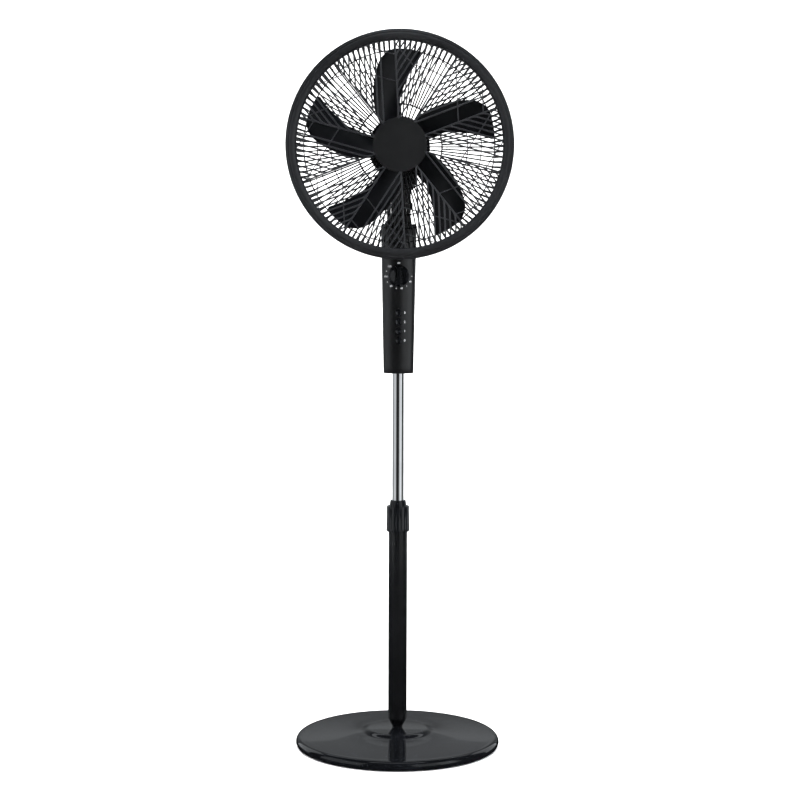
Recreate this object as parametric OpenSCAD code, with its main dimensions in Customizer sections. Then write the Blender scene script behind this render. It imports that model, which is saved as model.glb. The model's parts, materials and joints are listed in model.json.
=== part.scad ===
// Pedestal fan: a round weighted base, a telescopic column, a control box, a tilting and
// oscillating motor head and a caged five-blade fan. Millimetres, +Z up. The origin is the
// centre of the base on the floor, and the fan blows towards -Y.

/* [Base] */
// Outer radius of the base cover
base_r = 209; // [150:1:260]
// Height of the cover's edge above the floor
base_edge_h = 20.5; // [17:0.5:30]
// Rise of the cover from its edge to the foot of the raised centre
base_rise = 8; // [4:0.5:20]
// Radius of the raised centre
plateau_r = 67; // [45:1:90]
// Height of the raised centre over the foot of its step
plateau_h = 8; // [3:0.5:16]
// Wall of the base cover
cover_wall = 3; // [2:0.25:4]
// Thickness of the ballast plate
weight_h = 14; // [11:0.5:15]
// Height of the rubber feet
foot_h = 3; // [2:0.5:5]
// Number of rubber feet
foot_count = 5; // [3:1:8]

/* [Column] */
// Outer radius of the lower tube
outer_r = 19.2; // [17:0.1:24]
// Wall of the lower tube
outer_wall = 1.2; // [0.8:0.1:2]
// Length of the lower tube with its tapered foot
outer_len = 450; // [300:5:600]
// Height of the tapered foot over the base cover
foot_taper_h = 18; // [10:1:40]
// Radius of the foot's shank
shank_r = 9.5; // [8.5:0.25:14]
// Outer radius of the sliding tube
inner_r = 12.1; // [10:0.1:14]
// Wall of the sliding tube
inner_wall = 1; // [0.8:0.1:1.5]
// Length of bare sliding tube between the collet and the control box at full height
reach = 261; // [180:1:320]
// Height of the lock collar
collar_h = 52; // [40:1:70]
// Wall of the lock collar between its flutes
collar_wall = 1.6; // [1:0.1:3]
// Depth of the lock collar's grip lobes
lobe_h = 0.9; // [0.3:0.1:1.5]
// Height of the collet's cone above the collar
cone_h = 12; // [8:0.5:20]

/* [Control box] */
// Height of the control box
box_h = 300; // [260:1:380]
// Width of the control box at its bottom
box_w_low = 60.5; // [56:0.5:80]
// Width of the control box at its top
box_w_top = 72; // [66:0.5:100]
// Depth of the box in front of the column's axis
box_front = 34; // [30:0.5:45]
// Depth of the box behind the column's axis
box_rear = 30; // [26:0.5:45]
// Radius of the box's bowed front and back
bow_r = 48; // [46:1:120]
// Wall of the control box
box_wall = 2.5; // [2:0.25:3.5]
// Height of the timer knob's centre above the bottom of the box
knob_z = 197; // [180:1:220]
// Radius of the timer knob
knob_r = 21.5; // [16:0.5:24]
// Height of the lowest button above the bottom of the box
button_z = 67; // [50:1:80]
// Distance between buttons
button_pitch = 18.5; // [18:0.5:22]
// Radius of a button
button_r = 7; // [5:0.25:8]

/* [Neck and pivots] */
// Height of the fan's axis above the top of the control box
neck_h = 152; // [145:1:180]
// Width of the neck
neck_w = 48; // [44:1:60]
// Thickness of each ear of the neck's fork
ear_t = 8; // [6:0.5:10]
// Radius of the fork's round ends
ear_r = 17; // [14:0.5:20]
// Height of the tilt bolt above the top of the control box
tilt_h = 35; // [32:0.5:40]
// Radius of the tilt bolt
tilt_bolt_r = 4; // [3:0.25:5]
// Radius of the post that the head swings on
post_r = 8; // [6:0.25:10]
// Distance from the swing axis to the crank's axis
crank_d = 62; // [58:0.5:64]
// Distance from the swing axis to the anchor post of the link
anchor_d = 21; // [19:0.5:24]
// Radius of the crank
crank_r = 13; // [10:0.5:13.5]

/* [Motor] */
// Outer radius of the motor casing
motor_r = 61; // [60:0.5:70]
// Distance from the swing axis forward to the motor casing's front face
motor_front = 55; // [52:0.5:60]
// Distance from the swing axis back to the end of the rear cover
motor_rear = 98; // [94:0.5:110]
// Wall of the motor casing
casing_wall = 2.5; // [2:0.25:3]
// Outer radius of the stator core
stator_r = 50; // [44:0.5:52]
// Radius of the rotor core
rotor_r = 24; // [20:0.5:28]
// Length of the stator core
core_len = 30; // [24:1:32]
// Radius of the motor shaft
shaft_r = 4; // [3.5:0.25:4.5]
// Distance from the crank's axis forward to the clutch spindle
spindle_lead = 7; // [4:0.5:10]
// Teeth of the crank gear
crank_teeth = 43; // [36:1:50]
// Teeth of the pinion
pinion_teeth = 10; // [9:1:12]
// Teeth of the worm wheel
wheel_teeth = 36; // [32:1:40]
// Axial pitch of the worm
worm_pitch = 2.6; // [2.4:0.1:2.8]

/* [Fan and guard] */
// Outer radius of the guard
guard_r = 220; // [190:1:270]
// Width of the guard's front band
band_w = 21; // [16:0.5:28]
// Depth of the guard's front band
band_d = 36; // [28:1:46]
// Distance from the swing axis forward to the middle of the guard's band
guard_f = 167; // [160:1:190]
// Radius of the fan at its blade tips
blade_r = 188; // [120:1:192]
// Number of blades
blade_count = 5; // [3:1:7]
// Radius of the fan's hub
hub_r = 44; // [36:1:48]
// Thickness of a blade
blade_t = 2; // [1.6:0.2:3]
// Radius of the guard's centre cap
cap_r = 52.3; // [40:0.1:70]
// Number of repeats in the front grille's pattern
grille_folds = 10; // [6:2:12]
// Distance between neighbouring ribs along a spine of the front grille
rib_step = 17.25; // [14:0.25:26]
// How far inside the centre cap's edge the first ribs start
rib_tuck = 3.3; // [2:0.1:5]
// Width of a rib of the front grille
rib_w = 3.2; // [1.8:0.1:4]
// Distances of the two cross ribs along a spine, as shares of the guard's radius
cross_at = [0.545, 0.777]; // [0.3:0.005:0.85]
// Thickness of the front grille
grille_t = 3; // [2:0.5:5]
// Number of wires in the rear guard
rear_wires = 120; // [60:12:144]
// Diameter of a rear guard wire
wire_d = 2.6; // [1.6:0.1:3.2]
// Width of the rear guard's side bars
bar_w = 3.8; // [1.6:0.1:5]

/* [Fits] */
// Radial clearance of a shaft that turns or slides in its hole
run = 0.05; // [0.01:0.01:0.1]
// Gap between moving pieces that never touch
gap = 0.5; // [0.3:0.1:1]

/* [Hidden] */
$fn = 64;
black = "#17181a";
steel = "#b9bcc0";

// heights of the column's pieces, from the floor up
weight_top = foot_h + weight_h;
cover_foot_z = base_edge_h + base_rise;
cover_top_z = cover_foot_z + plateau_h;
tube_top = weight_top + outer_len;
tube_low = cover_top_z + 1 + foot_taper_h;
spigot_len = 27;
bush_len = 29;
adapter_r = outer_r + 2;
collar_overlap = 22.4;
collar_z = tube_top - collar_overlap;
collar_top = collar_z + collar_h;
collar_lip = 2.7;
cone_r_low = adapter_r - 3.7;
cone_r_top = cone_r_low - 1.75;
cone_top = collar_top + cone_h;
box_z = cone_top + reach;
box_top = box_z + box_h;
tube_in_box = 50;
clamp_z = box_z + 34;
gland_z = box_z + 14;
sliding_top = box_z + tube_in_box;
sliding_low = tube_top - spigot_len - gap - bush_len;
tilt_z = box_top + tilt_h;
axis_z = box_top + neck_h;
// heights of the head's underside
under_casing = 12;
bracket_low = axis_z - motor_r - under_casing;
yoke_top = bracket_low - gap;
saucer_t = 14;
plate_t = 5;
link_low = bracket_low + plate_t + 2.5;
link_t = 3;
crank_low = bracket_low + 19;
crank_t = 6;
// the crank's rest angle puts the link between its two pivots with the head straight ahead
link_len = sqrt(pow(crank_d, 2) + pow(anchor_d, 2) - pow(crank_r, 2));
crank_angle = atan2(anchor_d, crank_d) - asin(crank_r / sqrt(pow(crank_d, 2) + pow(anchor_d, 2)));
crank_pin_x = crank_r * cos(crank_angle);
crank_pin_y = crank_d + crank_r * sin(crank_angle);
crank_pin_r = 3;
// gear centres
wheel_r = worm_pitch * wheel_teeth / (2 * PI);
worm_r = shaft_r + 1.2;
spindle_x = -(wheel_r + worm_r);
spindle_y = crank_d - spindle_lead;
gear_play = 0.1;
gear_cd = sqrt(pow(spindle_x, 2) + pow(spindle_lead, 2));
gear_m = 2 * (gear_cd - gear_play) / (crank_teeth + pinion_teeth);
spindle_r = 2.5;
// stations along the motor axis, forward of the swing axis
core_low = 6;
core_top = core_low + core_len;
shield_t = 3;
bearing_len = 8;
bearing_r = 9;
nose_r = 20;
nose_len = 14;
spider_t = 4;
hub_low = motor_front + nose_len + 5;
hub_h = 62;
nut_low = hub_low + hub_h - 20;
pin_f = hub_low + 6;
pin_r = 1.25;
pin_half = 10;
grille_f = guard_f + 5;
hoop_f = guard_f - band_d / 2 + 4;
hoop_r = guard_r - 10;
rear_r = guard_r - 30;
rear_f = motor_front + spider_t;

// points of an arc, counted from angle a to angle b
function arc(x, y, r, a, b, n) =
    [for (i = [0:n]) [x + r * cos(a + (b - a) * i / n), y + r * sin(a + (b - a) * i / n)]];

// the motor's frame: +Z forward along the fan's axis, +Y up
module facing(f = 0) {
    translate([0, 0, axis_z]) rotate([90, 0, 0]) translate([0, 0, f]) children();
}

module tube(r, wall, h) {
    difference() {
        cylinder(r = r, h = h);
        translate([0, 0, -1]) cylinder(r = r - wall, h = h + 2);
    }
}

module ring(r_in, r_out, h) {
    tube(r_out, r_out - r_in, h);
}

module around(n, start = 0) {
    for (i = [0:n - 1]) rotate([0, 0, start + 360 * i / n]) children();
}

// ---------------------------------------------------------------- base

screw_pcr = 120;
foot_pcr = base_r - 40;
screw_r = 2;
stud_r = 6;
edge_r = 11;
edge_z = 9;
skirt_low = 1.5;

step_w = 8;
step_parts = 8;

// from the foot of the rolled edge to the top of the raised centre, whose step is a soft S
function cover_outline(inset) =
    concat(
        arc(base_r - edge_r, edge_z, edge_r - inset, -40, 90, 10),
        [[base_r - edge_r - 3, base_edge_h - inset]],
        [for (i = [0:step_parts]) [
            plateau_r + step_w * (1 - 2 * i / step_parts),
            cover_foot_z + plateau_h * (1 - cos(180 * i / step_parts)) / 2 - inset]]);

module base_cover() {
    color(black) union() {
        difference() {
            rotate_extrude() polygon(concat([[0, skirt_low], [base_r - 6, skirt_low]],
                cover_outline(0), [[0, cover_top_z]]));
            rotate_extrude() polygon(concat([[0, 0], [base_r - 8, 0]],
                cover_outline(cover_wall), [[0, cover_top_z - cover_wall]]));
            cylinder(r = shank_r + gap, h = 2 * cover_top_z);
        }
        translate([0, 0, weight_top]) ring(shank_r + gap, shank_r + 6, cover_top_z - weight_top - 1);
        intersection() {
            around(3) translate([screw_pcr, 0, weight_top]) ring(screw_r, 6, plateau_h + 20);
            rotate_extrude() polygon(concat([[0, 0], [base_r - 6, 0]],
                cover_outline(1), [[0, cover_top_z - 1]]));
        }
    }
}

module ballast_plate() {
    color("dimgray") difference() {
        translate([0, 0, foot_h]) cylinder(r = base_r - 22, h = weight_h);
        translate([0, 0, foot_h - 1]) cylinder(r = 18, h = 9);
        cylinder(r = stud_r + 0.3, h = 100);
        around(3) translate([screw_pcr, 0, 0]) cylinder(r = screw_r + 0.2, h = 100);
        around(3) translate([screw_pcr, 0, foot_h - 1]) cylinder(r = 5, h = 5);
    }
}

module rubber_feet() {
    color("#101010") around(foot_count, 90) translate([foot_pcr, 0, 0]) rotate_extrude()
        polygon([[0, 0], [8, 0], [9, 1], [9, foot_h], [0, foot_h]]);
}

module cover_screws() {
    color(steel) around(3) translate([screw_pcr, 0, foot_h + 4 - 2.5]) {
        cylinder(r = 3.8, h = 2.5);
        cylinder(r = screw_r - run, h = weight_h + 2);
    }
}

module lower_tube() {
    color(black) translate([0, 0, tube_low]) tube(outer_r, outer_wall, tube_top - tube_low);
}

module tube_plug() {
    color(black) {
        translate([0, 0, tube_low]) cylinder(r = outer_r - outer_wall, h = 28);
        translate([0, 0, cover_top_z + 1]) cylinder(r1 = shank_r, r2 = outer_r, h = foot_taper_h);
        translate([0, 0, weight_top]) cylinder(r = shank_r, h = cover_top_z + 1 - weight_top);
        translate([0, 0, foot_h + 0.8]) cylinder(r = stud_r, h = weight_h);
    }
}

module base_washer() {
    color(steel) translate([0, 0, foot_h + 6.5]) ring(stud_r + 0.3, 14, 1.5);
}

module base_nut() {
    color(steel) translate([0, 0, foot_h + 0.6]) difference() {
        cylinder(r = stud_r + 4.4, h = 5.9, $fn = 6);
        translate([0, 0, -1]) cylinder(r = stud_r, h = 9);
    }
}

// ---------------------------------------------------------------- column

module collet() {
    color(black) difference() {
        rotate_extrude() polygon([
            [inner_r + run, tube_top - spigot_len], [outer_r - outer_wall, tube_top - spigot_len],
            [outer_r - outer_wall, tube_top], [outer_r, tube_top], [outer_r, collar_z + 1],
            [adapter_r, collar_z + 1], [adapter_r, collar_top - collar_lip - gap],
            [cone_r_low, collar_top - collar_lip - gap], [cone_r_low, collar_top + 1],
            [cone_r_top, cone_top], [inner_r + run, cone_top]]);
        for (a = [0:60:120]) rotate([0, 0, a])
            translate([-40, -0.6, collar_top - collar_lip]) cube([80, 1.2, 60]);
    }
}

module lock_collar() {
    lobes = 12;
    body_r = adapter_r + run + collar_wall;
    color(black) difference() {
        translate([0, 0, collar_z]) union() {
            cylinder(r1 = body_r - 0.5, r2 = body_r, h = 2);
            translate([0, 0, 2]) cylinder(r = body_r, h = collar_h - 3.5);
            translate([0, 0, collar_h - 1.5]) cylinder(r1 = body_r, r2 = body_r - 1.2, h = 1.5);
            around(lobes) translate([body_r - 2.2, 0, 6]) cylinder(r = 2.2 + lobe_h, h = collar_h - 12);
        }
        translate([0, 0, collar_z - 1])
            cylinder(r = adapter_r + run, h = collar_h - collar_lip + 1);
        translate([0, 0, collar_z - 1]) cylinder(r = cone_r_low + gap, h = collar_h + 9);
    }
}

module sliding_tube() {
    color(steel) translate([0, 0, sliding_low]) tube(inner_r, inner_wall, sliding_top - sliding_low);
}

module stop_bush() {
    color("whitesmoke") translate([0, 0, sliding_low]) difference() {
        cylinder(r = outer_r - outer_wall - run, h = bush_len);
        translate([0, 0, -1]) cylinder(r = inner_r, h = bush_len + 2);
    }
}

// ---------------------------------------------------------------- control box

// the box's body, drawn in by a wall's thickness for its inside
module box_body(inset) {
    intersection() {
        translate([0, 100, 0]) rotate([90, 0, 0]) linear_extrude(200) polygon([
            [-box_w_low / 2 + inset, box_z + inset], [box_w_low / 2 - inset, box_z + inset],
            [box_w_top / 2 - inset, box_top - 8], [box_w_top / 2 - 5 - inset * 0.6, box_top - inset],
            [-box_w_top / 2 + 5 + inset * 0.6, box_top - inset], [-box_w_top / 2 + inset, box_top - 8]]);
        translate([0, bow_r - box_front, box_z - 1]) cylinder(r = bow_r - inset, h = box_h + 2);
        translate([0, box_rear - bow_r, box_z - 1]) cylinder(r = bow_r - inset, h = box_h + 2);
    }
}

button_front = box_front + 2.5;
stem_r = 2.5;
screw_z = [box_z + 58, box_z + box_h / 2, box_top - 20];

module button_spot(i) {
    translate([0, 0, box_z + button_z + i * button_pitch]) rotate([90, 0, 0]) children();
}

module box_hollow() {
    difference() {
        box_body(0);
        box_body(box_wall);
        translate([0, 0, box_z - 1]) cylinder(r = inner_r + gap, h = 9);
        translate([-neck_w / 2 - gap, -ear_r - gap, box_top - 9])
            cube([neck_w + 2 * gap, 2 * (ear_r + gap), 20]);
    }
}

module box_front_shell() {
    color(black) difference() {
        intersection() {
            box_hollow();
            translate([-100, -200, box_z - 1]) cube([200, 200, box_h + 2]);
        }
        for (i = [0:3]) button_spot(i) cylinder(r = button_r + 0.3, h = 80);
        translate([0, 0, box_z + knob_z]) rotate([90, 0, 0]) cylinder(r = 5, h = 80);
    }
}

module box_rear_shell() {
    color(black) difference() {
        intersection() {
            box_hollow();
            translate([-100, 0, box_z - 1]) cube([200, 200, box_h + 2]);
        }
        for (z = screw_z) translate([0, 0, z]) rotate([-90, 0, 0]) cylinder(r = 2, h = 80);
        translate([0, 0, clamp_z]) rotate([-90, 0, 0]) cylinder(r = 6, h = 80);
        translate([0, 0, gland_z]) rotate([-90, 0, 0]) cylinder(r = 5, h = 80);
    }
}

module box_screws() {
    color(steel) for (z = screw_z) translate([0, box_rear, z]) rotate([90, 0, 0]) {
        translate([0, 0, -2]) cylinder(r = 3.6, h = 2);
        cylinder(r = 1.9, h = 13);
    }
}

sleeve_r = inner_r + 5;

module neck_core() {
    base_low = box_top - 60;
    color("#26272a") difference() {
        union() {
            translate([0, 0, box_z + box_wall]) cylinder(r = sleeve_r, h = tube_in_box - box_wall);
            translate([-12, 8, gland_z + 8]) cube([24, 8, base_low - gland_z - 7]);
            translate([-neck_w / 2, -ear_r, base_low]) cube([neck_w, 2 * ear_r, tilt_z - base_low]);
            translate([-neck_w / 2, 0, tilt_z]) rotate([0, 90, 0]) cylinder(r = ear_r, h = neck_w);
            for (z = screw_z) translate([0, 8, z]) rotate([-90, 0, 0])
                cylinder(r = 5, h = box_rear - box_wall - 8.6);
        }
        translate([0, 0, box_z]) cylinder(r = inner_r, h = tube_in_box);
        translate([-neck_w / 2 + ear_t, -50, tilt_z - ear_r - 2])
            cube([neck_w - 2 * ear_t, 100, 60]);
        translate([-50, 0, tilt_z]) rotate([0, 90, 0]) cylinder(r = tilt_bolt_r, h = 100);
        translate([0, 0, clamp_z]) rotate([-90, 0, 0]) cylinder(r = 3, h = 80);
        for (z = screw_z) translate([0, box_rear - 13, z]) rotate([-90, 0, 0])
            cylinder(r = 1.9, h = 40);
    }
}

module tube_clamp_screw() {
    color(steel) translate([0, inner_r, clamp_z]) rotate([-90, 0, 0]) {
        cylinder(r = 3, h = 12);
        translate([0, 0, 6]) cylinder(r = 4.6, h = 5);
    }
}

switch_front = 22;

module switch_block() {
    low = box_z + button_z - 12;
    color("#e8e4da") difference() {
        translate([-14, -switch_front, low]) cube([28, 16, 3 * button_pitch + 24]);
        for (i = [0:3]) button_spot(i) cylinder(r = stem_r + run, h = 80);
    }
}

module timer_body() {
    color("#dedbd2") difference() {
        translate([0, 0, box_z + knob_z]) rotate([90, 0, 0]) {
            translate([0, 0, 4]) cylinder(r = 20, h = 14);
            cylinder(r = 16, h = 6);
            translate([0, 0, 18]) cylinder(r = 6, h = 4);
        }
        translate([0, 0, box_z + knob_z]) rotate([90, 0, 0]) translate([0, 0, 8])
            cylinder(r = 3 + run, h = 60);
    }
}

module capacitor() {
    color("#2b2c30") translate([-19, -14, box_z + 148]) cube([38, 16, 22]);
}

module cable_gland() {
    grip = box_wall + 0.6;
    color("#101010") translate([0, box_rear - grip, gland_z]) rotate([-90, 0, 0]) difference() {
        union() {
            translate([0, 0, -2]) cylinder(r = 7, h = 2);
            cylinder(r = 5, h = grip);
            translate([0, 0, grip]) cylinder(r = 7, h = 3);
            translate([0, 0, grip + 3]) cylinder(r1 = 6, r2 = 4.5, h = 9);
        }
        translate([0, 0, -5]) cylinder(r = 3.2, h = 40);
    }
}

module timer_knob() {
    grip_w = 6;
    grip_h = 8;
    color(black) translate([0, 0, box_z + knob_z]) rotate([90, 0, 0]) {
        translate([0, 0, box_front + 1]) cylinder(r = knob_r, h = 4);
        translate([0, 0, box_front + 5]) cylinder(r1 = knob_r, r2 = knob_r - 2, h = 4);
        intersection() {
            translate([-grip_w / 2, -knob_r, box_front + 8]) cube([grip_w, 2 * knob_r, grip_h]);
            cylinder(r = knob_r - 2.2, h = 80);
        }
        translate([0, 0, 10]) cylinder(r = 3, h = box_front - 8);
    }
}

module button(i) {
    color(black) button_spot(i) {
        translate([0, 0, button_front - 8]) cylinder(r = button_r, h = 7.4);
        translate([0, 0, button_front - 0.6]) cylinder(r1 = button_r, r2 = button_r - 0.6, h = 0.6);
        translate([0, 0, button_front - 8]) cylinder(r = button_r + 1.4, h = 2);
        translate([0, 0, switch_front - 8]) cylinder(r = stem_r, h = button_front - switch_front);
    }
}

module button_0() { button(0); }
module button_1() { button(1); }
module button_2() { button(2); }
module button_3() { button(3); }

module button_springs() {
    color(steel) for (i = [0:3]) button_spot(i) translate([0, 0, switch_front])
        ring(stem_r + 0.7, stem_r + 2, button_front - 8 - switch_front);
}

// ---------------------------------------------------------------- tilt and swing

module tilt_bolt() {
    color(steel) translate([neck_w / 2, 0, tilt_z]) rotate([0, -90, 0]) {
        cylinder(r = tilt_bolt_r, h = neck_w + 7);
        translate([0, 0, -4]) cylinder(r = tilt_bolt_r + 3, h = 4);
    }
}

module tilt_nut() {
    color(steel) translate([-neck_w / 2 - 6, 0, tilt_z]) rotate([0, 90, 0]) difference() {
        cylinder(r = tilt_bolt_r + 3.5, h = 6, $fn = 6);
        translate([0, 0, -1]) cylinder(r = tilt_bolt_r, h = 9);
    }
}

tongue_w = neck_w - 2 * ear_t - 2 * gap;
socket_r = post_r + run;
post_low = tilt_z + tilt_bolt_r + 12;

// the yoke is as wide as the neck above the fork, and hollowed round the fork's ears
module yoke_shoulders() {
    difference() {
        translate([-neck_w / 2, 2 - ear_r, tilt_z])
            cube([neck_w, 2 * (ear_r - 2), yoke_top - tilt_z - 2]);
        translate([-neck_w / 2 - 1, 0, tilt_z]) rotate([0, 90, 0])
            cylinder(r = ear_r + gap, h = neck_w + 2);
    }
}

module tilt_yoke() {
    color(black) difference() {
        union() {
            translate([-tongue_w / 2, 0, tilt_z]) rotate([0, 90, 0])
                cylinder(r = ear_r - 2, h = tongue_w);
            translate([-tongue_w / 2, 2 - ear_r, tilt_z])
                cube([tongue_w, 2 * (ear_r - 2), yoke_top - tilt_z - 2]);
            yoke_shoulders();
            translate([0, 0, yoke_top - saucer_t]) cylinder(r1 = 22, r2 = 33, h = 9);
            translate([0, 0, yoke_top - saucer_t + 9]) cylinder(r = 33, h = saucer_t - 9);
            translate([anchor_d, 0, yoke_top - 5]) cylinder(r = 3.5, h = link_low - gap - yoke_top + 5);
        }
        translate([0, 0, post_low]) cylinder(r = socket_r, h = 80);
        translate([-50, 0, tilt_z]) rotate([0, 90, 0]) cylinder(r = tilt_bolt_r + run, h = 100);
        translate([0, 0, post_low + 6]) rotate([-90, 0, 0]) cylinder(r = 2, h = 80);
    }
}

module post_grub_screw() {
    color(steel) translate([0, post_r - 0.5, post_low + 6]) rotate([-90, 0, 0])
        cylinder(r = 2, h = ear_r - 1.5 - post_r);
}

bracket_w = 68;
bracket_wall = 3;
bracket_front = 34;
bracket_rear = crank_d + 26;

module head_bracket() {
    color(black) difference() {
        union() {
            difference() {
                translate([-bracket_w / 2, -bracket_front, bracket_low])
                    cube([bracket_w, bracket_front + bracket_rear, 31]);
                translate([bracket_wall - bracket_w / 2, bracket_wall - bracket_front, bracket_low - 1])
                    cube([bracket_w - 2 * bracket_wall,
                        bracket_front + bracket_rear - 2 * bracket_wall, 50]);
            }
            translate([-bracket_w / 2 + 1, -bracket_front + 1, bracket_low])
                cube([bracket_w - 2, bracket_front + 31, plate_t]);
            translate([0, 0, bracket_low]) cylinder(r = 14, h = plate_t + 2);
            translate([-14, -bracket_front + 1, bracket_low]) cube([28, 10, 20]);
        }
        facing(-200) cylinder(r = motor_r + 0.2, h = 400);
        rotate([0, 0, -55]) translate([0, 0, bracket_low - 1]) rotate_extrude(angle = 110)
            translate([anchor_d - 4.5, 0]) square([9, 40]);
    }
    color(steel) translate([0, 0, post_low + 1]) difference() {
        cylinder(r = post_r, h = bracket_low - post_low);
        translate([0, 0, 2.6]) ring(post_r - 0.8, post_r + 5, 4.8);
    }
}

// ---------------------------------------------------------------- motor

module motor_front_casing() {
    color(black) facing() difference() {
        union() {
            translate([0, 0, 0]) cylinder(r = motor_r, h = motor_front - 3);
            translate([0, 0, motor_front - 3]) cylinder(r1 = motor_r, r2 = motor_r - 3, h = 3);
            translate([0, 0, motor_front - 1]) cylinder(r = nose_r, h = nose_len + 1);
        }
        translate([0, 0, -1]) cylinder(r = motor_r - casing_wall, h = motor_front - casing_wall + 1);
        cylinder(r = bearing_r, h = 200);
    }
}

module motor_rear_cover() {
    end_r = 12;
    color(black) difference() {
        facing() difference() {
            rotate_extrude() polygon(concat([[0, -motor_rear], [motor_r - end_r - 14, -motor_rear]],
                arc(motor_r - end_r, -motor_rear + end_r + 1, end_r, -80, 0, 6),
                [[motor_r, -0.2], [0, -0.2]]));
            rotate_extrude() polygon(concat(
                [[0, -motor_rear + casing_wall], [motor_r - end_r - 14, -motor_rear + casing_wall]],
                arc(motor_r - end_r, -motor_rear + end_r + 1, end_r - casing_wall, -80, 0, 6),
                [[motor_r - casing_wall, 1], [0, 1]]));
            translate([0, 0, -200]) cylinder(r = 2.2, h = 150);
            for (a = [-40:20:40], r = [22, 32]) rotate([0, 0, a]) translate([r, 0, -motor_rear - 1])
                cylinder(r = 2.4, h = 8);
            for (a = [140:20:220], r = [22, 32]) rotate([0, 0, a])
                translate([r, 0, -motor_rear - 1]) cylinder(r = 2.4, h = 8);
        }
        translate([-bracket_w / 2 + bracket_wall, -1, bracket_low])
            cube([bracket_w - 2 * bracket_wall, bracket_rear - bracket_wall + 1, 30]);
        translate([spindle_x, spindle_y, axis_z]) cylinder(r = 4.5, h = 90);
    }
}

module cover_nut() {
    color(steel) facing(-motor_rear - 3) {
        cylinder(r = 4.5, h = 3);
        cylinder(r = 2, h = motor_rear - 77);
    }
}

module shield(low, boss_low, boss_len) {
    difference() {
        union() {
            translate([0, 0, low]) ring(stator_r - 3, stator_r, 14);
            translate([0, 0, boss_low]) cylinder(r = bearing_r + 3, h = boss_len);
            for (a = [45:90:315]) rotate([0, 0, a]) translate([bearing_r + 1, -4, boss_low + 1])
                cube([stator_r - bearing_r - 2.5, 8, shield_t]);
        }
        translate([0, 0, boss_low - 50]) cylinder(r = bearing_r, h = 100);
    }
}

front_boss = core_top + 11;
rear_boss = core_low - 14;

module front_shield() {
    color("silver") facing() difference() {
        shield(core_top, front_boss, 5.5);
        translate([0, 0, motor_front - casing_wall]) cylinder(r = 80, h = 50);
    }
}

module rear_shield() {
    color("silver") facing() shield(core_low - 14, rear_boss, 8);
}

module bearings() {
    color("#a8813c") facing() {
        translate([0, 0, front_boss]) ring(shaft_r + run, bearing_r, bearing_len);
        translate([0, 0, rear_boss]) ring(shaft_r + run, bearing_r, bearing_len);
    }
}

module stator_core() {
    slots = 16;
    color("#6d7075") facing(core_low) difference() {
        ring(rotor_r + gap, stator_r, core_len);
        around(slots) translate([rotor_r + 3, -1.8, -1]) cube([14, 3.6, core_len + 2]);
        around(slots) translate([rotor_r - 1, -0.7, -1]) cube([6, 1.4, core_len + 2]);
    }
}

module windings() {
    color("#a4552a") facing() for (z = [core_low - 9, core_top]) translate([0, 0, z])
        ring(rotor_r + 5, rotor_r + 20, 9);
}

module gearbox_frame() {
    deck_low = crank_low + crank_t + 1;
    deck_high = axis_z + 14;
    deck_t = 4;
    deck_rear = rear_boss - 6;
    color("silver") difference() {
        union() {
            for (z = [deck_low, deck_high]) translate([-30, -deck_rear, z])
                cube([44, crank_d + rear_boss + 2, deck_t]);
            for (x = [-30, 10]) translate([x, -deck_rear, deck_low])
                cube([deck_t, 6, deck_high - deck_low + deck_t]);
            for (x = [-32, 13.9]) translate([x, -core_low + 14, deck_high - 2]) cube([4, 12, 6]);
        }
        translate([spindle_x, spindle_y, 0]) cylinder(r = spindle_r + run, h = 2 * axis_z);
        translate([0, crank_d, 0]) cylinder(r = 3, h = deck_low + 10);
        facing(-200) cylinder(r = worm_r + 1, h = 400);
        translate([spindle_x, spindle_y, deck_high - 1]) cylinder(r = spindle_r + 0.6, h = 10);
    }
    color(steel) translate([0, crank_d, crank_low - 1]) {
        cylinder(r = 3, h = crank_t + 9);
        translate([0, 0, -1.5]) cylinder(r = 4.6, h = 1.5);
    }
}

// a single-start thread: the radius over a turn is root, flank, crest and flank
module worm_thread(len) {
    turns = len / worm_pitch;
    half_depth = 0.75;
    crest_end = 48;
    flank_end = 92;
    function lobe(a) = let (t = abs(((a + 540) % 360) - 180))
        t < crest_end ? worm_r + half_depth
        : t < flank_end ? worm_r + half_depth * (1 - 2 * (t - crest_end) / (flank_end - crest_end))
        : worm_r - half_depth;
    linear_extrude(len, twist = -360 * turns, slices = round(10 * turns), $fn = 20)
        polygon([for (i = [0:19]) lobe(18 * i) * [cos(18 * i), sin(18 * i)]]);
}

worm_len = 6 * worm_pitch;
worm_mid = -spindle_y;

module motor_shaft() {
    color(steel) facing() {
        difference() {
            translate([0, 0, worm_mid + worm_len / 2 - 0.01])
                cylinder(r = shaft_r, h = nut_low + 16 - worm_mid - worm_len / 2);
            translate([-50, 0, pin_f]) rotate([0, 90, 0]) cylinder(r = pin_r, h = 100);
        }
        translate([0, 0, worm_mid - worm_len / 2]) worm_thread(worm_len);
    }
}

module rotor_core() {
    color("#8d9096") facing(core_low) {
        difference() {
            cylinder(r = rotor_r, h = core_len);
            translate([0, 0, -1]) cylinder(r = shaft_r, h = core_len + 2);
        }
        for (z = [-5, core_len]) translate([0, 0, z]) ring(rotor_r - 7, rotor_r - 1, 5);
    }
}

module drive_pin() {
    color(steel) facing(pin_f) rotate([0, 90, 0]) translate([0, 0, -pin_half])
        cylinder(r = pin_r, h = 2 * pin_half);
}

// ---------------------------------------------------------------- gears

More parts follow.
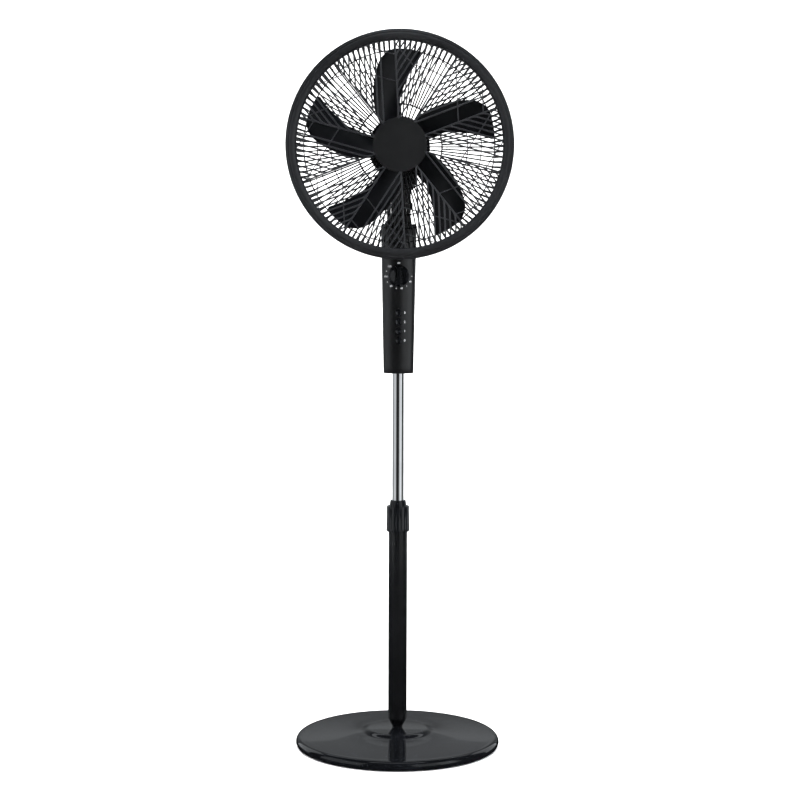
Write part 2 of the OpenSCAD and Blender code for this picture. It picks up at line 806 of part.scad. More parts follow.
// a spur gear of trapezoid teeth, narrower than the space by the backlash
module spur(m, n, h) {
    r = m * n / 2;
    p = 360 / n;
    linear_extrude(h) polygon([for (i = [0:n - 1], k = [0:3])
        let (a = i * p + [-0.30, -0.115, 0.115, 0.30][k] * p,
             q = [r - 1.25 * m, r + 0.9 * m, r + 0.9 * m, r - 1.25 * m][k])
        q * [cos(a), sin(a)]]);
}

module worm_wheel() {
    color("whitesmoke") translate([spindle_x, spindle_y, axis_z - 3]) difference() {
        union() {
            linear_extrude(6) polygon([for (i = [0:wheel_teeth - 1], k = [0:3])
                let (p = 360 / wheel_teeth, a = i * p + [-0.26, -0.1, 0.1, 0.26][k] * p,
                     q = wheel_r + [-1, 0.55, 0.55, -1][k])
                q * [cos(a), sin(a)]]);
            translate([0, 0, -4]) cylinder(r = 7, h = 14);
        }
        translate([0, 0, -10]) cylinder(r = spindle_r + run, h = 40);
    }
}

module clutch_spindle() {
    pinion_low = crank_low - 0.5;
    mesh_angle = atan2(crank_d - spindle_y, -spindle_x);
    color(steel) translate([spindle_x, spindle_y, 0]) {
        translate([0, 0, pinion_low]) rotate([0, 0, mesh_angle])
            spur(gear_m, pinion_teeth, crank_t + 0.5);
        translate([0, 0, pinion_low]) cylinder(r = spindle_r, h = axis_z + 16 - pinion_low);
        translate([0, 0, axis_z - 13.5]) ring(spindle_r - 1, 6, 5);
    }
}

module clutch_knob() {
    top = axis_z + sqrt(pow(motor_r, 2) - pow(spindle_x, 2));
    color(black) translate([spindle_x, spindle_y, 0]) {
        translate([0, 0, axis_z + 16.5]) cylinder(r = 2, h = top - axis_z - 14);
        translate([0, 0, top + 4]) cylinder(r1 = 6.5, r2 = 8, h = 3);
        translate([0, 0, top + 7]) cylinder(r = 8, h = 7);
        translate([0, 0, top + 14]) cylinder(r1 = 8, r2 = 6.5, h = 1.5);
        translate([0, 0, top + 1]) cylinder(r = 4, h = 4);
    }
}

module crank_gear() {
    // a tooth space of the crank gear faces the pinion
    mesh_angle = atan2(spindle_y - crank_d, spindle_x) + 180 / crank_teeth;
    color("whitesmoke") translate([0, crank_d, crank_low]) difference() {
        rotate([0, 0, mesh_angle]) spur(gear_m, crank_teeth, crank_t);
        translate([0, 0, -1]) cylinder(r = 3 + run, h = 20);
    }
    color(steel) translate([crank_pin_x, crank_pin_y, link_low - 1.5]) {
        cylinder(r = crank_pin_r, h = crank_low - link_low + 2.5);
        cylinder(r = crank_pin_r + 1.5, h = 1.2);
    }
}

module crank_link() {
    turn = atan2(crank_pin_y, crank_pin_x - anchor_d);
    color(steel) translate([anchor_d, 0, link_low]) rotate([0, 0, turn]) difference() {
        union() {
            cylinder(r = 6.5, h = link_t);
            translate([link_len, 0, 0]) cylinder(r = 6.5, h = link_t);
            translate([0, -4, 0]) cube([link_len, 8, link_t]);
        }
        translate([0, 0, -1]) cylinder(r = 2, h = 9);
        translate([link_len, 0, -1]) cylinder(r = crank_pin_r + run, h = 9);
    }
}

// ---------------------------------------------------------------- fan

// where a blade's middle line lies, how wide it is, and how far its edges lean, at radius r
blade_mid = hub_low + 27;
function reach_of(r) = (r - hub_r) / (blade_r - hub_r);
function blade_angle(r) = 115.5 - 30 * reach_of(r) + 2 * pow(reach_of(r), 2);
function blade_half(r) =
    20.5 - 12 * reach_of(r) + 3.5 * pow(reach_of(r), 2) - 2.5 * pow(reach_of(r), 12);
function blade_lean(r) = 17 - 4 * reach_of(r);

function blade_point(r, s, side) =
    let (a = blade_angle(r) + s * blade_half(r), bow = 4 * (1 - s * s))
    [r * cos(a), r * sin(a), blade_mid + s * blade_lean(r) + bow + side * blade_t / 2];

module blade() {
    rows = 10;
    cols = 8;
    function r_at(i) = hub_r - 3 + (blade_r - hub_r + 3) * i / rows;
    skin = [for (side = [1, -1], i = [0:rows], j = [0:cols])
        blade_point(r_at(i), 2 * j / cols - 1, side)];
    w = cols + 1;
    n = (rows + 1) * w;
    polyhedron(skin, concat(
        [for (i = [0:rows - 1], j = [0:cols - 1], t = [0, 1])
            t == 0 ? [i * w + j, i * w + j + 1, (i + 1) * w + j + 1]
                   : [i * w + j, (i + 1) * w + j + 1, (i + 1) * w + j]],
        [for (i = [0:rows - 1], j = [0:cols - 1], t = [0, 1])
            t == 0 ? [n + i * w + j, n + (i + 1) * w + j + 1, n + i * w + j + 1]
                   : [n + i * w + j, n + (i + 1) * w + j, n + (i + 1) * w + j + 1]],
        [for (i = [0:rows - 1], e = [0, cols], t = [0, 1])
            let (a = i * w + e, b = (i + 1) * w + e)
            e == 0 ? (t == 0 ? [a, b, n + b] : [a, n + b, n + a])
                   : (t == 0 ? [a, n + b, b] : [a, n + a, n + b])],
        [for (j = [0:cols - 1], e = [0, rows], t = [0, 1])
            let (a = e * w + j, b = a + 1)
            e == 0 ? (t == 0 ? [a, n + b, b] : [a, n + a, n + b])
                   : (t == 0 ? [a, b, n + b] : [a, n + b, n + a])]));
}

module fan_blade() {
    color(black) facing() difference() {
        union() {
            difference() {
                translate([0, 0, hub_low]) cylinder(r1 = hub_r, r2 = hub_r - 3, h = hub_h);
                translate([0, 0, hub_low - 1]) cylinder(r = hub_r - 5.5, h = hub_h - 2);
                translate([0, 0, nut_low]) cylinder(r = 21, h = 40);
            }
            translate([0, 0, hub_low]) cylinder(r = 12, h = nut_low - hub_low);
            translate([0, 0, nut_low - 4]) cylinder(r = hub_r - 5, h = 4);
            translate([0, 0, nut_low - 4]) ring(21, 24, 22);
            around(blade_count, 0) blade();
        }
        translate([0, 0, hub_low - 50]) cylinder(r = shaft_r, h = 150);
        translate([-pin_half - 0.3, -pin_r - 0.35, hub_low - 1])
            cube([2 * pin_half + 0.6, 2 * pin_r + 0.7, pin_f - hub_low + pin_r + 1.35]);
    }
}

module blade_nut() {
    color(black) facing(nut_low) difference() {
        union() {
            cylinder(r = 17, h = 6);
            translate([0, 0, 6]) cylinder(r1 = 15, r2 = 9, h = 13);
            around(6) translate([12, -1.2, 0]) cube([4.5, 2.4, 12]);
        }
        translate([0, 0, -1]) cylinder(r = shaft_r, h = 17.4);
    }
}

// ---------------------------------------------------------------- guard

hoop_w = 6;
hoop_t = 5;
spider_r = 86;
ring_gap = 27;
wire_root = nose_r + 12;

module rear_guard_spider() {
    color(black) facing(motor_front) difference() {
        union() {
            cylinder(r = motor_r - 5, h = spider_t);
            around(5, 18) translate([30, -4, 0]) cube([spider_r - 30, 8, spider_t]);
            ring(spider_r - 3, spider_r, spider_t);
        }
        translate([0, 0, -1]) cylinder(r = nose_r + 0.2, h = 20);
        around(5, 54) translate([motor_r - 20, 0, -1]) cylinder(r = 6, h = 20);
    }
}

module rear_guard_grid() {
    color(black) facing(rear_f) linear_extrude(wire_d) union() {
        difference() {
            circle(r = rear_r);
            circle(r = rear_r - wire_d - 0.6);
        }
        for (r = [rear_r - ring_gap, rear_r - 2 * ring_gap]) difference() {
            circle(r = r);
            circle(r = r - wire_d);
        }
        around(rear_wires) translate([spider_r - 2, -wire_d / 2]) square([rear_r - spider_r, wire_d]);
        around(rear_wires / 2) translate([wire_root, -wire_d / 2])
            square([spider_r - wire_root, wire_d]);
    }
}

module rear_guard_bars() {
    run_out = hoop_r - hoop_w / 2 - rear_r;
    depth = hoop_f - rear_f;
    color(black) facing(rear_f) around(rear_wires) rotate([90, 0, 0])
        translate([0, 0, -bar_w / 2]) linear_extrude(bar_w) polygon([
            [rear_r - wire_d, wire_d], [rear_r, wire_d],
            [rear_r + run_out, depth], [rear_r + run_out - wire_d, depth]]);
}

module rear_guard_hoop() {
    color(black) facing(hoop_f) ring(hoop_r - hoop_w / 2 - wire_d, hoop_r + hoop_w / 2, hoop_t);
}

module guard_nut() {
    color(black) facing(motor_front + spider_t) difference() {
        union() {
            cylinder(r = nose_r + 9, h = 8);
            around(12) translate([nose_r + 8.5, 0, 0]) cylinder(r = 2.2, h = 8);
        }
        translate([0, 0, -1]) cylinder(r = nose_r, h = 20);
    }
}

// the band's section: a rounded front, a stepped shoulder, and a channel open to the back
module band_section(inset) {
    r_in = guard_r - band_w + inset;
    r_out = guard_r - inset;
    back = inset > 0 ? -1 : 0;
    polygon(concat([[r_out, back]],
        arc(r_out - 8, band_d - 8 - inset, 8, 0, 70, 5),
        arc(r_in + 4, band_d - 6 - inset, 4, 90, 180, 4),
        [[r_in, back]]));
}

band_low = guard_f - band_d / 2;
band_wall = 2.4;

module guard_band() {
    color(black) facing(band_low) rotate_extrude() difference() {
        band_section(0);
        band_section(band_wall);
    }
}

// a rib of the front grille that starts on the X axis and leaves it at angle a
module rib(x, a, len, w) {
    translate([x, 0]) rotate(a) translate([0, -w / 2]) square([len, w]);
}

cap_ring = [cap_r - 6, cap_r - 1];
fold = 360 / grille_folds;
first_arm = 93;
cross_len = 0.62 * guard_r;
cross_w = 0.7 * rib_w;

// one arm of the pinwheel: a spine, and the ribs that leave it in parallel with the next spine
module grille_arm() {
    ribs = floor((guard_r - band_w - cap_r) / rib_step);
    rib(0, 0, guard_r, rib_w);
    for (i = [0:ribs]) rib(cap_r - rib_tuck + i * rib_step, -fold, guard_r, rib_w);
}

module cross_ribs() {
    for (share = cross_at) rib(guard_r * share, 2 * fold, cross_len, cross_w);
}

module wedge(from, to) {
    polygon([[0, 0], 2 * guard_r * [cos(from), sin(from)], 2 * guard_r * [cos(to), sin(to)]]);
}

module front_grille() {
    color(black) facing(grille_f) linear_extrude(grille_t) union() {
        difference() {
            intersection() {
                circle(r = guard_r - band_w);
                union() around(grille_folds, first_arm) {
                    intersection() {
                        grille_arm();
                        wedge(-fold, 0.8);
                    }
                    intersection() {
                        cross_ribs();
                        wedge(0, fold);
                    }
                }
            }
            circle(r = cap_ring[0] + 3);
        }
        difference() {
            circle(r = cap_ring[1]);
            circle(r = cap_ring[0]);
        }
    }
}

module centre_cap() {
    color(black) facing(grille_f + grille_t) {
        cylinder(r1 = cap_r, r2 = cap_r, h = 1.5);
        translate([0, 0, 1.5]) cylinder(r1 = cap_r, r2 = cap_r - 2.5, h = 1.5);
        translate([0, 0, -grille_t - 2]) ring(cap_r - 8, cap_r - 6.1, grille_t + 2.2);
    }
}

module guard_clips() {
    clip_w = 14;
    clip_t = 2.5;
    clip_in = hoop_r - hoop_w / 2;
    color(black) facing(band_low - clip_t) around(5, 270) translate([clip_in, -clip_w / 2, 0]) {
        cube([guard_r - clip_in - 1, clip_w, clip_t]);
        cube([hoop_w, clip_w, hoop_f - band_low + clip_t]);
    }
}

base_cover();
ballast_plate();
rubber_feet();
cover_screws();
lower_tube();
tube_plug();
base_washer();
base_nut();
collet();
lock_collar();
sliding_tube();
stop_bush();
neck_core();
box_front_shell();
box_rear_shell();
box_screws();
tube_clamp_screw();
switch_block();
timer_body();
capacitor();
cable_gland();
timer_knob();
button_0();
button_1();
button_2();
button_3();
button_springs();
tilt_bolt();
tilt_nut();
tilt_yoke();
post_grub_screw();
head_bracket();
motor_front_casing();
motor_rear_cover();
cover_nut();
front_shield();
rear_shield();
bearings();
stator_core();
windings();
gearbox_frame();
motor_shaft();
rotor_core();
drive_pin();
fan_blade();
blade_nut();
worm_wheel();
clutch_spindle();
clutch_knob();
crank_gear();
crank_link();
rear_guard_spider();
rear_guard_grid();
rear_guard_bars();
rear_guard_hoop();
guard_nut();
guard_band();
front_grille();
centre_cap();
guard_clips();
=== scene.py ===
# %% [markdown]
# # A pedestal fan around its engineering model
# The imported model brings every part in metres, standing on the floor with the fan blowing
# towards -Y. This notebook dresses it: thin plastic and wire parts are remade as finer
# meshes where they stand, and every part gets a procedural finish. Positions come from the
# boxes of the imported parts, so nothing has to be fitted afterwards.

# %% Load the frame
import json
from math import atan2, ceil, cos, hypot, pi, radians, sin, sqrt

import bmesh
import bpy
from mathutils import Matrix, Vector


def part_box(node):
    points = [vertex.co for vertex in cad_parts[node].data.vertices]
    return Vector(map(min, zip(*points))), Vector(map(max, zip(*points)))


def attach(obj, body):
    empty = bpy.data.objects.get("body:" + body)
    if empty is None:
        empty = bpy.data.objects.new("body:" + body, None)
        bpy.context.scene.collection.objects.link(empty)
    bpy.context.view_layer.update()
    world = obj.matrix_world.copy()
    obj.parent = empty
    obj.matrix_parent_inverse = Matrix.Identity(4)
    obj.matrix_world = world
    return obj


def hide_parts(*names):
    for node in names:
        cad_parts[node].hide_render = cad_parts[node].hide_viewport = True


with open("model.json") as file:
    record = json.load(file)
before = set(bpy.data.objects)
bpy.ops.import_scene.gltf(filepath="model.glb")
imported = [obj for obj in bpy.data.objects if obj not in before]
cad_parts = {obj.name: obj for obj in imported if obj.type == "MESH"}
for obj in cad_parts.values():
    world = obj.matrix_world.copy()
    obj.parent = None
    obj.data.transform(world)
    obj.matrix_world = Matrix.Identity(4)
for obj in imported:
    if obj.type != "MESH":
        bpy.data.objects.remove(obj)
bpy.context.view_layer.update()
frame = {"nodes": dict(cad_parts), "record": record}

scene = bpy.context.scene
nodes = frame["nodes"]
print("parts in the frame:", len(nodes))

# %% [markdown]
# ## The camera
# A tall fan is best seen from a few metres away with a short telephoto
# lens, a little below the fan's head and looking slightly down, so that the round base shows
# as an ellipse. An aimed camera is simpler than a shifted one, and it stays right when it
# is moved round the object.

# %% Place the camera
DISTANCE = 3.922
CAMERA_HEIGHT = 1.082
DOWN = radians(5.37)
TURN = radians(0.6)
ROLL = radians(0.17)
FOCAL = 87.26

lens = bpy.data.cameras.new("view")
lens.sensor_width = 36
lens.lens = FOCAL
camera = bpy.data.objects.new("view", lens)
scene.collection.objects.link(camera)
camera.matrix_world = (
    Matrix.Rotation(-TURN, 4, "Z")
    @ Matrix.Translation((0.0035, -DISTANCE, CAMERA_HEIGHT))
    @ Matrix.Rotation(pi / 2 - DOWN, 4, "X")
    @ Matrix.Rotation(ROLL, 4, "Z")
)
scene.camera = camera
print("camera at", [round(v, 3) for v in camera.matrix_world.translation])

# %% [markdown]
# ## Measures taken from the frame
# The fan turns about one horizontal line. Its height is the middle of the guard's band, and
# the band, the grille and the wires behind it are placed along that line by their own boxes.
# A piece of the head is easiest to draw in a frame of its own, with Z pointing forward along
# the fan's axis and Y up, and one matrix then stands it in its place.

# %% Measure the head
band_lo, band_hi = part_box("guard_band")
AXIS_Z = (band_lo.z + band_hi.z) / 2
FACING = Matrix.Translation((0, 0, AXIS_Z)) @ Matrix.Rotation(pi / 2, 4, "X")
GUARD_R = (band_hi.x - band_lo.x) / 2


def station(node):
    """How far forward a part of the head reaches, from its back to its front."""
    lo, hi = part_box(node)
    return -hi.y, -lo.y


print("axis height", round(AXIS_Z, 4), "guard radius", round(GUARD_R, 4))

# %% [markdown]
# ## Mesh helpers
# Three ways of making a surface cover nearly everything on a fan. A lathe turns an outline
# round an axis. A sweep carries a small section along a path, for wires and ribs. A loft
# joins a row of closed sections, for the blades. All three are written with bmesh, because a
# modifier would hide how the points are laid out.

# %% Write the helpers


def add_piece(name, bm, body, finish, place=None, smooth=35):
    """Turn a bmesh into a piece with a finish, riding on a body of the frame."""
    bmesh.ops.recalc_face_normals(bm, faces=bm.faces)
    mesh = bpy.data.meshes.new(name)
    bm.to_mesh(mesh)
    bm.free()
    if place is not None:
        mesh.transform(place)
    mesh.shade_smooth()
    mesh.set_sharp_from_angle(angle=radians(smooth))
    mesh.materials.append(finish)
    piece = bpy.data.objects.new(name, mesh)
    scene.collection.objects.link(piece)
    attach(piece, body)
    return piece


def skin(bm, rings, closed=False, around=True):
    """Join rows of points with faces. closed joins the last row to the first."""
    rows = [[bm.verts.new(p) for p in ring] for ring in rings]
    pairs = list(zip(rows, rows[1:] + rows[:1])) if closed else list(zip(rows, rows[1:]))
    for a, b in pairs:
        count = len(a)
        for i in range(count if around else count - 1):
            j = (i + 1) % count
            bm.faces.new((a[i], a[j], b[j], b[i]))
    return rows


def arc(x, y, r, start, end, count):
    """Points of an arc in degrees, both ends included."""
    turns = [radians(start + (end - start) * i / count) for i in range(count + 1)]
    return [(x + r * cos(t), y + r * sin(t)) for t in turns]


def lathe(outline, steps=160):
    """Turn a closed outline of (radius, height) points round Z."""
    bm = bmesh.new()
    rings = []
    for k in range(steps):
        t = 2 * pi * k / steps
        rings.append([(r * cos(t), r * sin(t), z) for r, z in outline])
    skin(bm, rings, closed=True)
    bmesh.ops.remove_doubles(bm, verts=bm.verts, dist=1e-7)
    return bm


def sweep(bm, path, section):
    """Carry a closed section along a path. The section's X stays level with the path's plane."""
    rings = []
    points = [Vector(p) for p in path]
    for i, p in enumerate(points):
        ahead = points[min(i + 1, len(points) - 1)] - points[max(i - 1, 0)]
        ahead.normalize()
        side = ahead.cross(Vector((0, 0, 1)))
        if side.length < 1e-3:
            side = Vector((1, 0, 0))
        side.normalize()
        up = side.cross(ahead)
        rings.append([p + side * x + up * y for x, y in section])
    rows = skin(bm, rings)
    bm.faces.new(rows[0])
    bm.faces.new(list(reversed(rows[-1])))


def oval(width, depth, count=10):
    """A rounded bar's section."""
    return [
        (width / 2 * cos(2 * pi * i / count), depth / 2 * sin(2 * pi * i / count))
        for i in range(count)
    ]


def bend(before, corner, after, size, count=5):
    """A smooth bend at a corner, between two straight runs."""
    a, c, b = Vector(before), Vector(corner), Vector(after)
    p = c + (a - c).normalized() * size
    q = c + (b - c).normalized() * size
    out = []
    for i in range(count + 1):
        t = i / count
        out.append((1 - t) ** 2 * p + 2 * t * (1 - t) * c + t * t * q)
    return out


# %% [markdown]
# ## Shader helpers
# A finish is a short recipe of noise, scratches and bumps. Python expressions are easier to
# read than rows of Math nodes, so a socket is wrapped in a class that turns each operator
# into the node that does it. Every other node comes from one method that sets the node's own
# settings first, and then fills or links its sockets.

# %% Write the shader helpers


class Wave:
    """A number that varies over a surface."""

    def __init__(self, recipe, socket):
        self.recipe = recipe
        self.socket = socket

    def _math(self, operation, a, b):
        made = self.recipe.node("Math", {"operation": operation}, {0: a, 1: b})
        return Wave(self.recipe, made.outputs[0])

    def __add__(self, other):
        return self._math("ADD", self, other)

    def __radd__(self, other):
        return self._math("ADD", other, self)

    def __sub__(self, other):
        return self._math("SUBTRACT", self, other)

    def __rsub__(self, other):
        return self._math("SUBTRACT", other, self)

    def __mul__(self, other):
        return self._math("MULTIPLY", self, other)

    def __rmul__(self, other):
        return self._math("MULTIPLY", other, self)

    def __gt__(self, other):
        return self._math("GREATER_THAN", self, other)


class Recipe:
    """One material, built round its Principled shader."""

    def __init__(self, name, **constants):
        self.material = bpy.data.materials.new(name)
        self.material.use_nodes = True
        self.tree = self.material.node_tree
        self.shader = self.tree.nodes["Principled BSDF"]
        for key, value in constants.items():
            self.shader.inputs[key.replace("_", " ")].default_value = value
        self.place = self.node("TexCoord").outputs["Object"]

    def node(self, kind, settings=None, sockets=None):
        made = self.tree.nodes.new("ShaderNode" + kind)
        for key, value in (settings or {}).items():
            if key == "stops":
                for stop, (at, shade) in zip(made.color_ramp.elements, value):
                    stop.position = at
                    stop.color = (shade, shade, shade, 1)
            else:
                setattr(made, key, value)
        for key, value in (sockets or {}).items():
            self.fill(made.inputs[key], value)
        return made

    def fill(self, socket, value):
        if isinstance(value, Wave):
            value = value.socket
        if isinstance(value, bpy.types.NodeSocket):
            self.tree.links.new(value, socket)
        else:
            socket.default_value = value

    def stretched(self, x, y, z):
        """The place on the object, drawn out along an axis by a smaller factor."""
        made = self.node("VectorMath", {"operation": "MULTIPLY"}, {0: self.place, 1: (x, y, z)})
        return made.outputs[0]

    def noise(self, scale, detail=2.0, rough=0.5, place=None):
        at = self.place if place is None else place
        sockets = {"Vector": at, "Scale": scale, "Detail": detail, "Roughness": rough}
        return Wave(self, self.node("TexNoise", None, sockets).outputs["Fac"])

    def cells(self, scale, place=None):
        at = self.place if place is None else place
        made = self.node("TexVoronoi", None, {"Vector": at, "Scale": scale})
        return Wave(self, made.outputs["Distance"])

    def ramp(self, value, low, high, dark=0.0, light=1.0):
        stops = [(low, dark), (high, light)]
        made = self.node("ValToRGB", {"stops": stops}, {0: value})
        return Wave(self, made.outputs["Color"])

    def blend(self, mask, colour_a, colour_b):
        made = self.node("Mix", {"data_type": "RGBA"}, {0: mask, 6: colour_a, 7: colour_b})
        return made.outputs[2]

    def bumps(self, *layers):
        """Stack height layers, each (height, distance in metres, strength)."""
        normal = None
        for height, distance, strength in layers:
            sockets = {"Height": height, "Distance": distance, "Strength": strength}
            if normal is not None:
                sockets["Normal"] = normal
            normal = self.node("Bump", None, sockets).outputs["Normal"]
        self.fill(self.shader.inputs["Normal"], normal)

    def set(self, **varying):
        for key, value in varying.items():
            self.fill(self.shader.inputs[key.replace("_", " ")], value)
        return self.material


# %% [markdown]
# ## Finishes
# The fan is nearly all black, and the blacks differ in their surface: polished ABS on the
# base and the control box, spark-textured satin plastic on the head, stoved enamel on the
# tube and wires. A moulding is never quite even, so each black gets a slow drift in colour
# and gloss, a fine skin and a little dust. The numbers that don't vary stay on the shader.

# %% Mix the blacks


def dusty(recipe, dark, light, dust, amount):
    """A base colour that drifts between two shades, with faint dust over it."""
    drift = recipe.ramp(recipe.noise(9, 3), 0.35, 0.65)
    paint = recipe.blend(drift, dark, light)
    specks = recipe.ramp(recipe.noise(420, 4, 0.7), 0.66, 0.78) * amount
    return recipe.blend(specks, paint, dust)


def polished_black(name="polished_black_abs", rough=0.07, shine=0.5, smears=0.07):
    r = Recipe(name, IOR=1.5, Specular_IOR_Level=shine)
    smear = r.noise(26, 4, 0.6)
    scuff = r.ramp(r.noise(3, 2, 0.5, r.stretched(60, 60, 4)), 0.62, 0.8)
    colour = dusty(r, (0.0022, 0.0025, 0.0031, 1), (0.0036, 0.004, 0.005, 1), (0.03, 0.03, 0.03, 1), 0.2)
    r.bumps((r.noise(140, 2), 0.00002, 0.25), (r.noise(900, 2), 0.000006, 0.25))
    return r.set(Base_Color=colour, Roughness=rough + smear * smears + scuff * smears * 0.7)


def satin_black(name="satin_black_plastic", rough=0.36, grain=1500, depth=0.00003, shine=0.5, lift=1.0):
    r = Recipe(name, IOR=1.48, Specular_IOR_Level=shine)
    patch = r.noise(14, 3)
    skin_height = r.cells(grain)
    dark = (0.0034 * lift, 0.0037 * lift, 0.0044 * lift, 1)
    light = (0.0056 * lift, 0.006 * lift, 0.0069 * lift, 1)
    colour = dusty(r, dark, light, (0.04, 0.04, 0.04, 1), 0.25)
    r.bumps((skin_height, depth, 0.5), (r.noise(60, 2), 0.00005, 0.12))
    return r.set(Base_Color=colour, Roughness=rough + patch * 0.12)


def enamel_black():
    r = Recipe("stoved_black_enamel", IOR=1.52, Specular_IOR_Level=0.3, Coat_Weight=0.2, Coat_Roughness=0.08)
    peel = r.noise(320, 2, 0.4)
    colour = dusty(r, (0.0025, 0.0027, 0.0032, 1), (0.004, 0.0043, 0.005, 1), (0.03, 0.03, 0.03, 1), 0.15)
    r.bumps((peel, 0.00002, 0.4))
    return r.set(Base_Color=colour, Roughness=0.16 + r.noise(40, 3) * 0.1)


def blade_black():
    r = Recipe("black_blade_plastic", IOR=1.49, Specular_IOR_Level=0.35)
    flow = r.noise(5, 3, 0.5, r.stretched(1, 8, 1))
    colour = dusty(r, (0.0026, 0.0029, 0.0038, 1), (0.0042, 0.0046, 0.006, 1), (0.04, 0.04, 0.04, 1), 0.2)
    r.bumps((r.noise(210, 3), 0.00003, 0.3))
    return r.set(Base_Color=colour, Roughness=0.24 + flow * 0.12)


def printed():
    r = Recipe("printed_marks", IOR=1.45)
    patch = r.ramp(r.noise(1800, 3), 0.3, 0.6)
    ink = r.blend(patch, (0.42, 0.43, 0.45, 1), (0.6, 0.61, 0.63, 1))
    r.bumps((r.noise(2500, 2), 0.00001, 0.3))
    return r.set(Base_Color=ink, Roughness=0.5 + patch * 0.1)


POLISHED = polished_black()
BASE_BLACK = polished_black("polished_base_cover", 0.02, 0.5, 0.035)
BOX_BLACK = polished_black("polished_box_shell", 0.3, 0.7)
SATIN = satin_black(lift=1.7)
# The grille's ribs are the band's satin plastic with a lighter base colour (lift 3.0 against 1.7). The lighter colour
# is painted sheen for the light that catches the ribs.
RIB_SATIN_PAINTED_SHEEN = satin_black("satin_rib_plastic_painted_sheen", 0.3, 2200, 0.00001, 0.8, 3.0)
CAP_SATIN = satin_black("fine_satin_cap", 0.5, 2600, 0.00002, 0.4)
ENAMEL = enamel_black()
BLADE = blade_black()
INK = printed()
print("black finishes:", [m.name for m in (POLISHED, BASE_BLACK, BOX_BLACK, SATIN, RIB_SATIN_PAINTED_SHEEN, CAP_SATIN, ENAMEL, BLADE)])

# %% [markdown]
# The bright tube is drawn steel with a plated skin. Its length shows faint lines from the
# drawing die, so noise stretched along Z breaks its roughness very slightly. Screws and
# shafts are zinc plated, the ballast is cast, and the hidden plastics are unpainted.

# %% Mix the metals and the rest


def plated_bright():
    r = Recipe("bright_plated_tube", Metallic=1.0)
    lines = r.noise(40, 3, 0.6, r.stretched(60, 60, 1))
    haze = r.noise(30, 3)
    tint = r.blend(r.ramp(haze, 0.3, 0.7), (0.78, 0.78, 0.79, 1), (0.86, 0.86, 0.86, 1))
    r.bumps((lines, 0.000006, 0.1))
    return r.set(Base_Color=tint, Roughness=0.035 + lines * 0.035)


def metal(name, dark, light, rough, scale=90, depth=0.00004):
    r = Recipe(name, Metallic=1.0)
    grain = r.noise(scale, 4, 0.6)
    tint = r.blend(r.ramp(r.noise(22, 3), 0.3, 0.7), (*dark, 1), (*light, 1))
    r.bumps((grain, depth, 0.4))
    return r.set(Base_Color=tint, Roughness=rough + grain * 0.16)


def dull(name, dark, light, rough, scale=300, depth=0.00006, **constants):
    r = Recipe(name, **constants)
    grain = r.noise(scale, 4, 0.65)
    tint = r.blend(r.ramp(r.noise(35, 3), 0.3, 0.7), (*dark, 1), (*light, 1))
    r.bumps((grain, depth, 0.5))
    return r.set(Base_Color=tint, Roughness=rough + grain * 0.15)


BRIGHT = plated_bright()
ZINC = metal("zinc_plated_steel", (0.5, 0.51, 0.54), (0.66, 0.66, 0.67), 0.26)
ALLOY = metal("die_cast_alloy", (0.5, 0.51, 0.52), (0.62, 0.62, 0.63), 0.38, 160, 0.00008)
CORE = metal("laminated_core_steel", (0.2, 0.21, 0.22), (0.32, 0.33, 0.34), 0.34, 400, 0.00005)
BRONZE = metal("sintered_bronze", (0.4, 0.27, 0.12), (0.55, 0.38, 0.18), 0.4, 700, 0.00004)
OXIDE = metal("blackened_steel", (0.012, 0.012, 0.013), (0.022, 0.022, 0.024), 0.4)
COPPER = metal("lacquered_copper_wire", (0.42, 0.16, 0.07), (0.6, 0.26, 0.12), 0.24, 900, 0.0001)
CAST = dull("cast_ballast", (0.025, 0.025, 0.027), (0.05, 0.05, 0.052), 0.6, 180, 0.0003)
RUBBER = dull("black_rubber", (0.008, 0.008, 0.008), (0.014, 0.014, 0.014), 0.65, 500, 0.00008)
NYLON = dull("white_nylon", (0.62, 0.6, 0.55), (0.74, 0.72, 0.67), 0.38, 400, 0.00003)
FILLED = dull("glass_filled_black", (0.01, 0.01, 0.011), (0.02, 0.02, 0.021), 0.5, 800, 0.00004)
print("other finishes:", len([BRIGHT, ZINC, ALLOY, CORE, BRONZE, COPPER, CAST, RUBBER, NYLON, FILLED]))

# %% [markdown]
# ## Finish the parts that keep their shape
# Most parts inside the fan, and the plain turned parts outside it, already have their true
# shape. They keep their own mesh and only need the right material and smooth shading across
# their curves, with the sharp edges left sharp.

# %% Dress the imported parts
BY_SLOT = {
    "black_plastic": POLISHED,
    "satin_black": SATIN,
    "black_enamel": ENAMEL,
    "chrome": BRIGHT,
    "plated_steel": ZINC,
    "ballast": CAST,
    "rubber": RUBBER,
    "white_plastic": NYLON,
    "inner_plastic": FILLED,
    "cast_alloy": ALLOY,
    "copper": COPPER,
    "bronze": BRONZE,
    "core_steel": CORE,
}
for part in frame["record"]["subparts"]:
    node = nodes[part["node"]]
    node.data.materials.clear()
    node.data.materials.append(BY_SLOT[part["material_slot"]])
    if part["node"] in ("tilt_bolt", "tilt_nut", "post_grub_screw"):
        node.data.materials[0] = OXIDE
    node.data.shade_smooth()
    node.data.set_sharp_from_angle(angle=radians(28))

# %% [markdown]
# ## The base cover
# The cover is one deep moulding: a thick rolled edge, a very shallow dome, and a raised
# centre with a soft step. It is turned from its outline, which is drawn with arcs so that the
# light runs over the edge without a break. The underside is hollow, as a moulding is.

# %% Turn the base cover
base_lo, base_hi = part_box("base_cover")
BASE_R = base_hi.x
EDGE_H = 0.0205
FOOT_Z = 0.0285
TOP_Z = base_hi.z
STEP_R = 0.067
STEP_W = 0.009
tube_lo, tube_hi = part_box("lower_tube")
TUBE_R = tube_hi.x
HOLE_R = 0.010


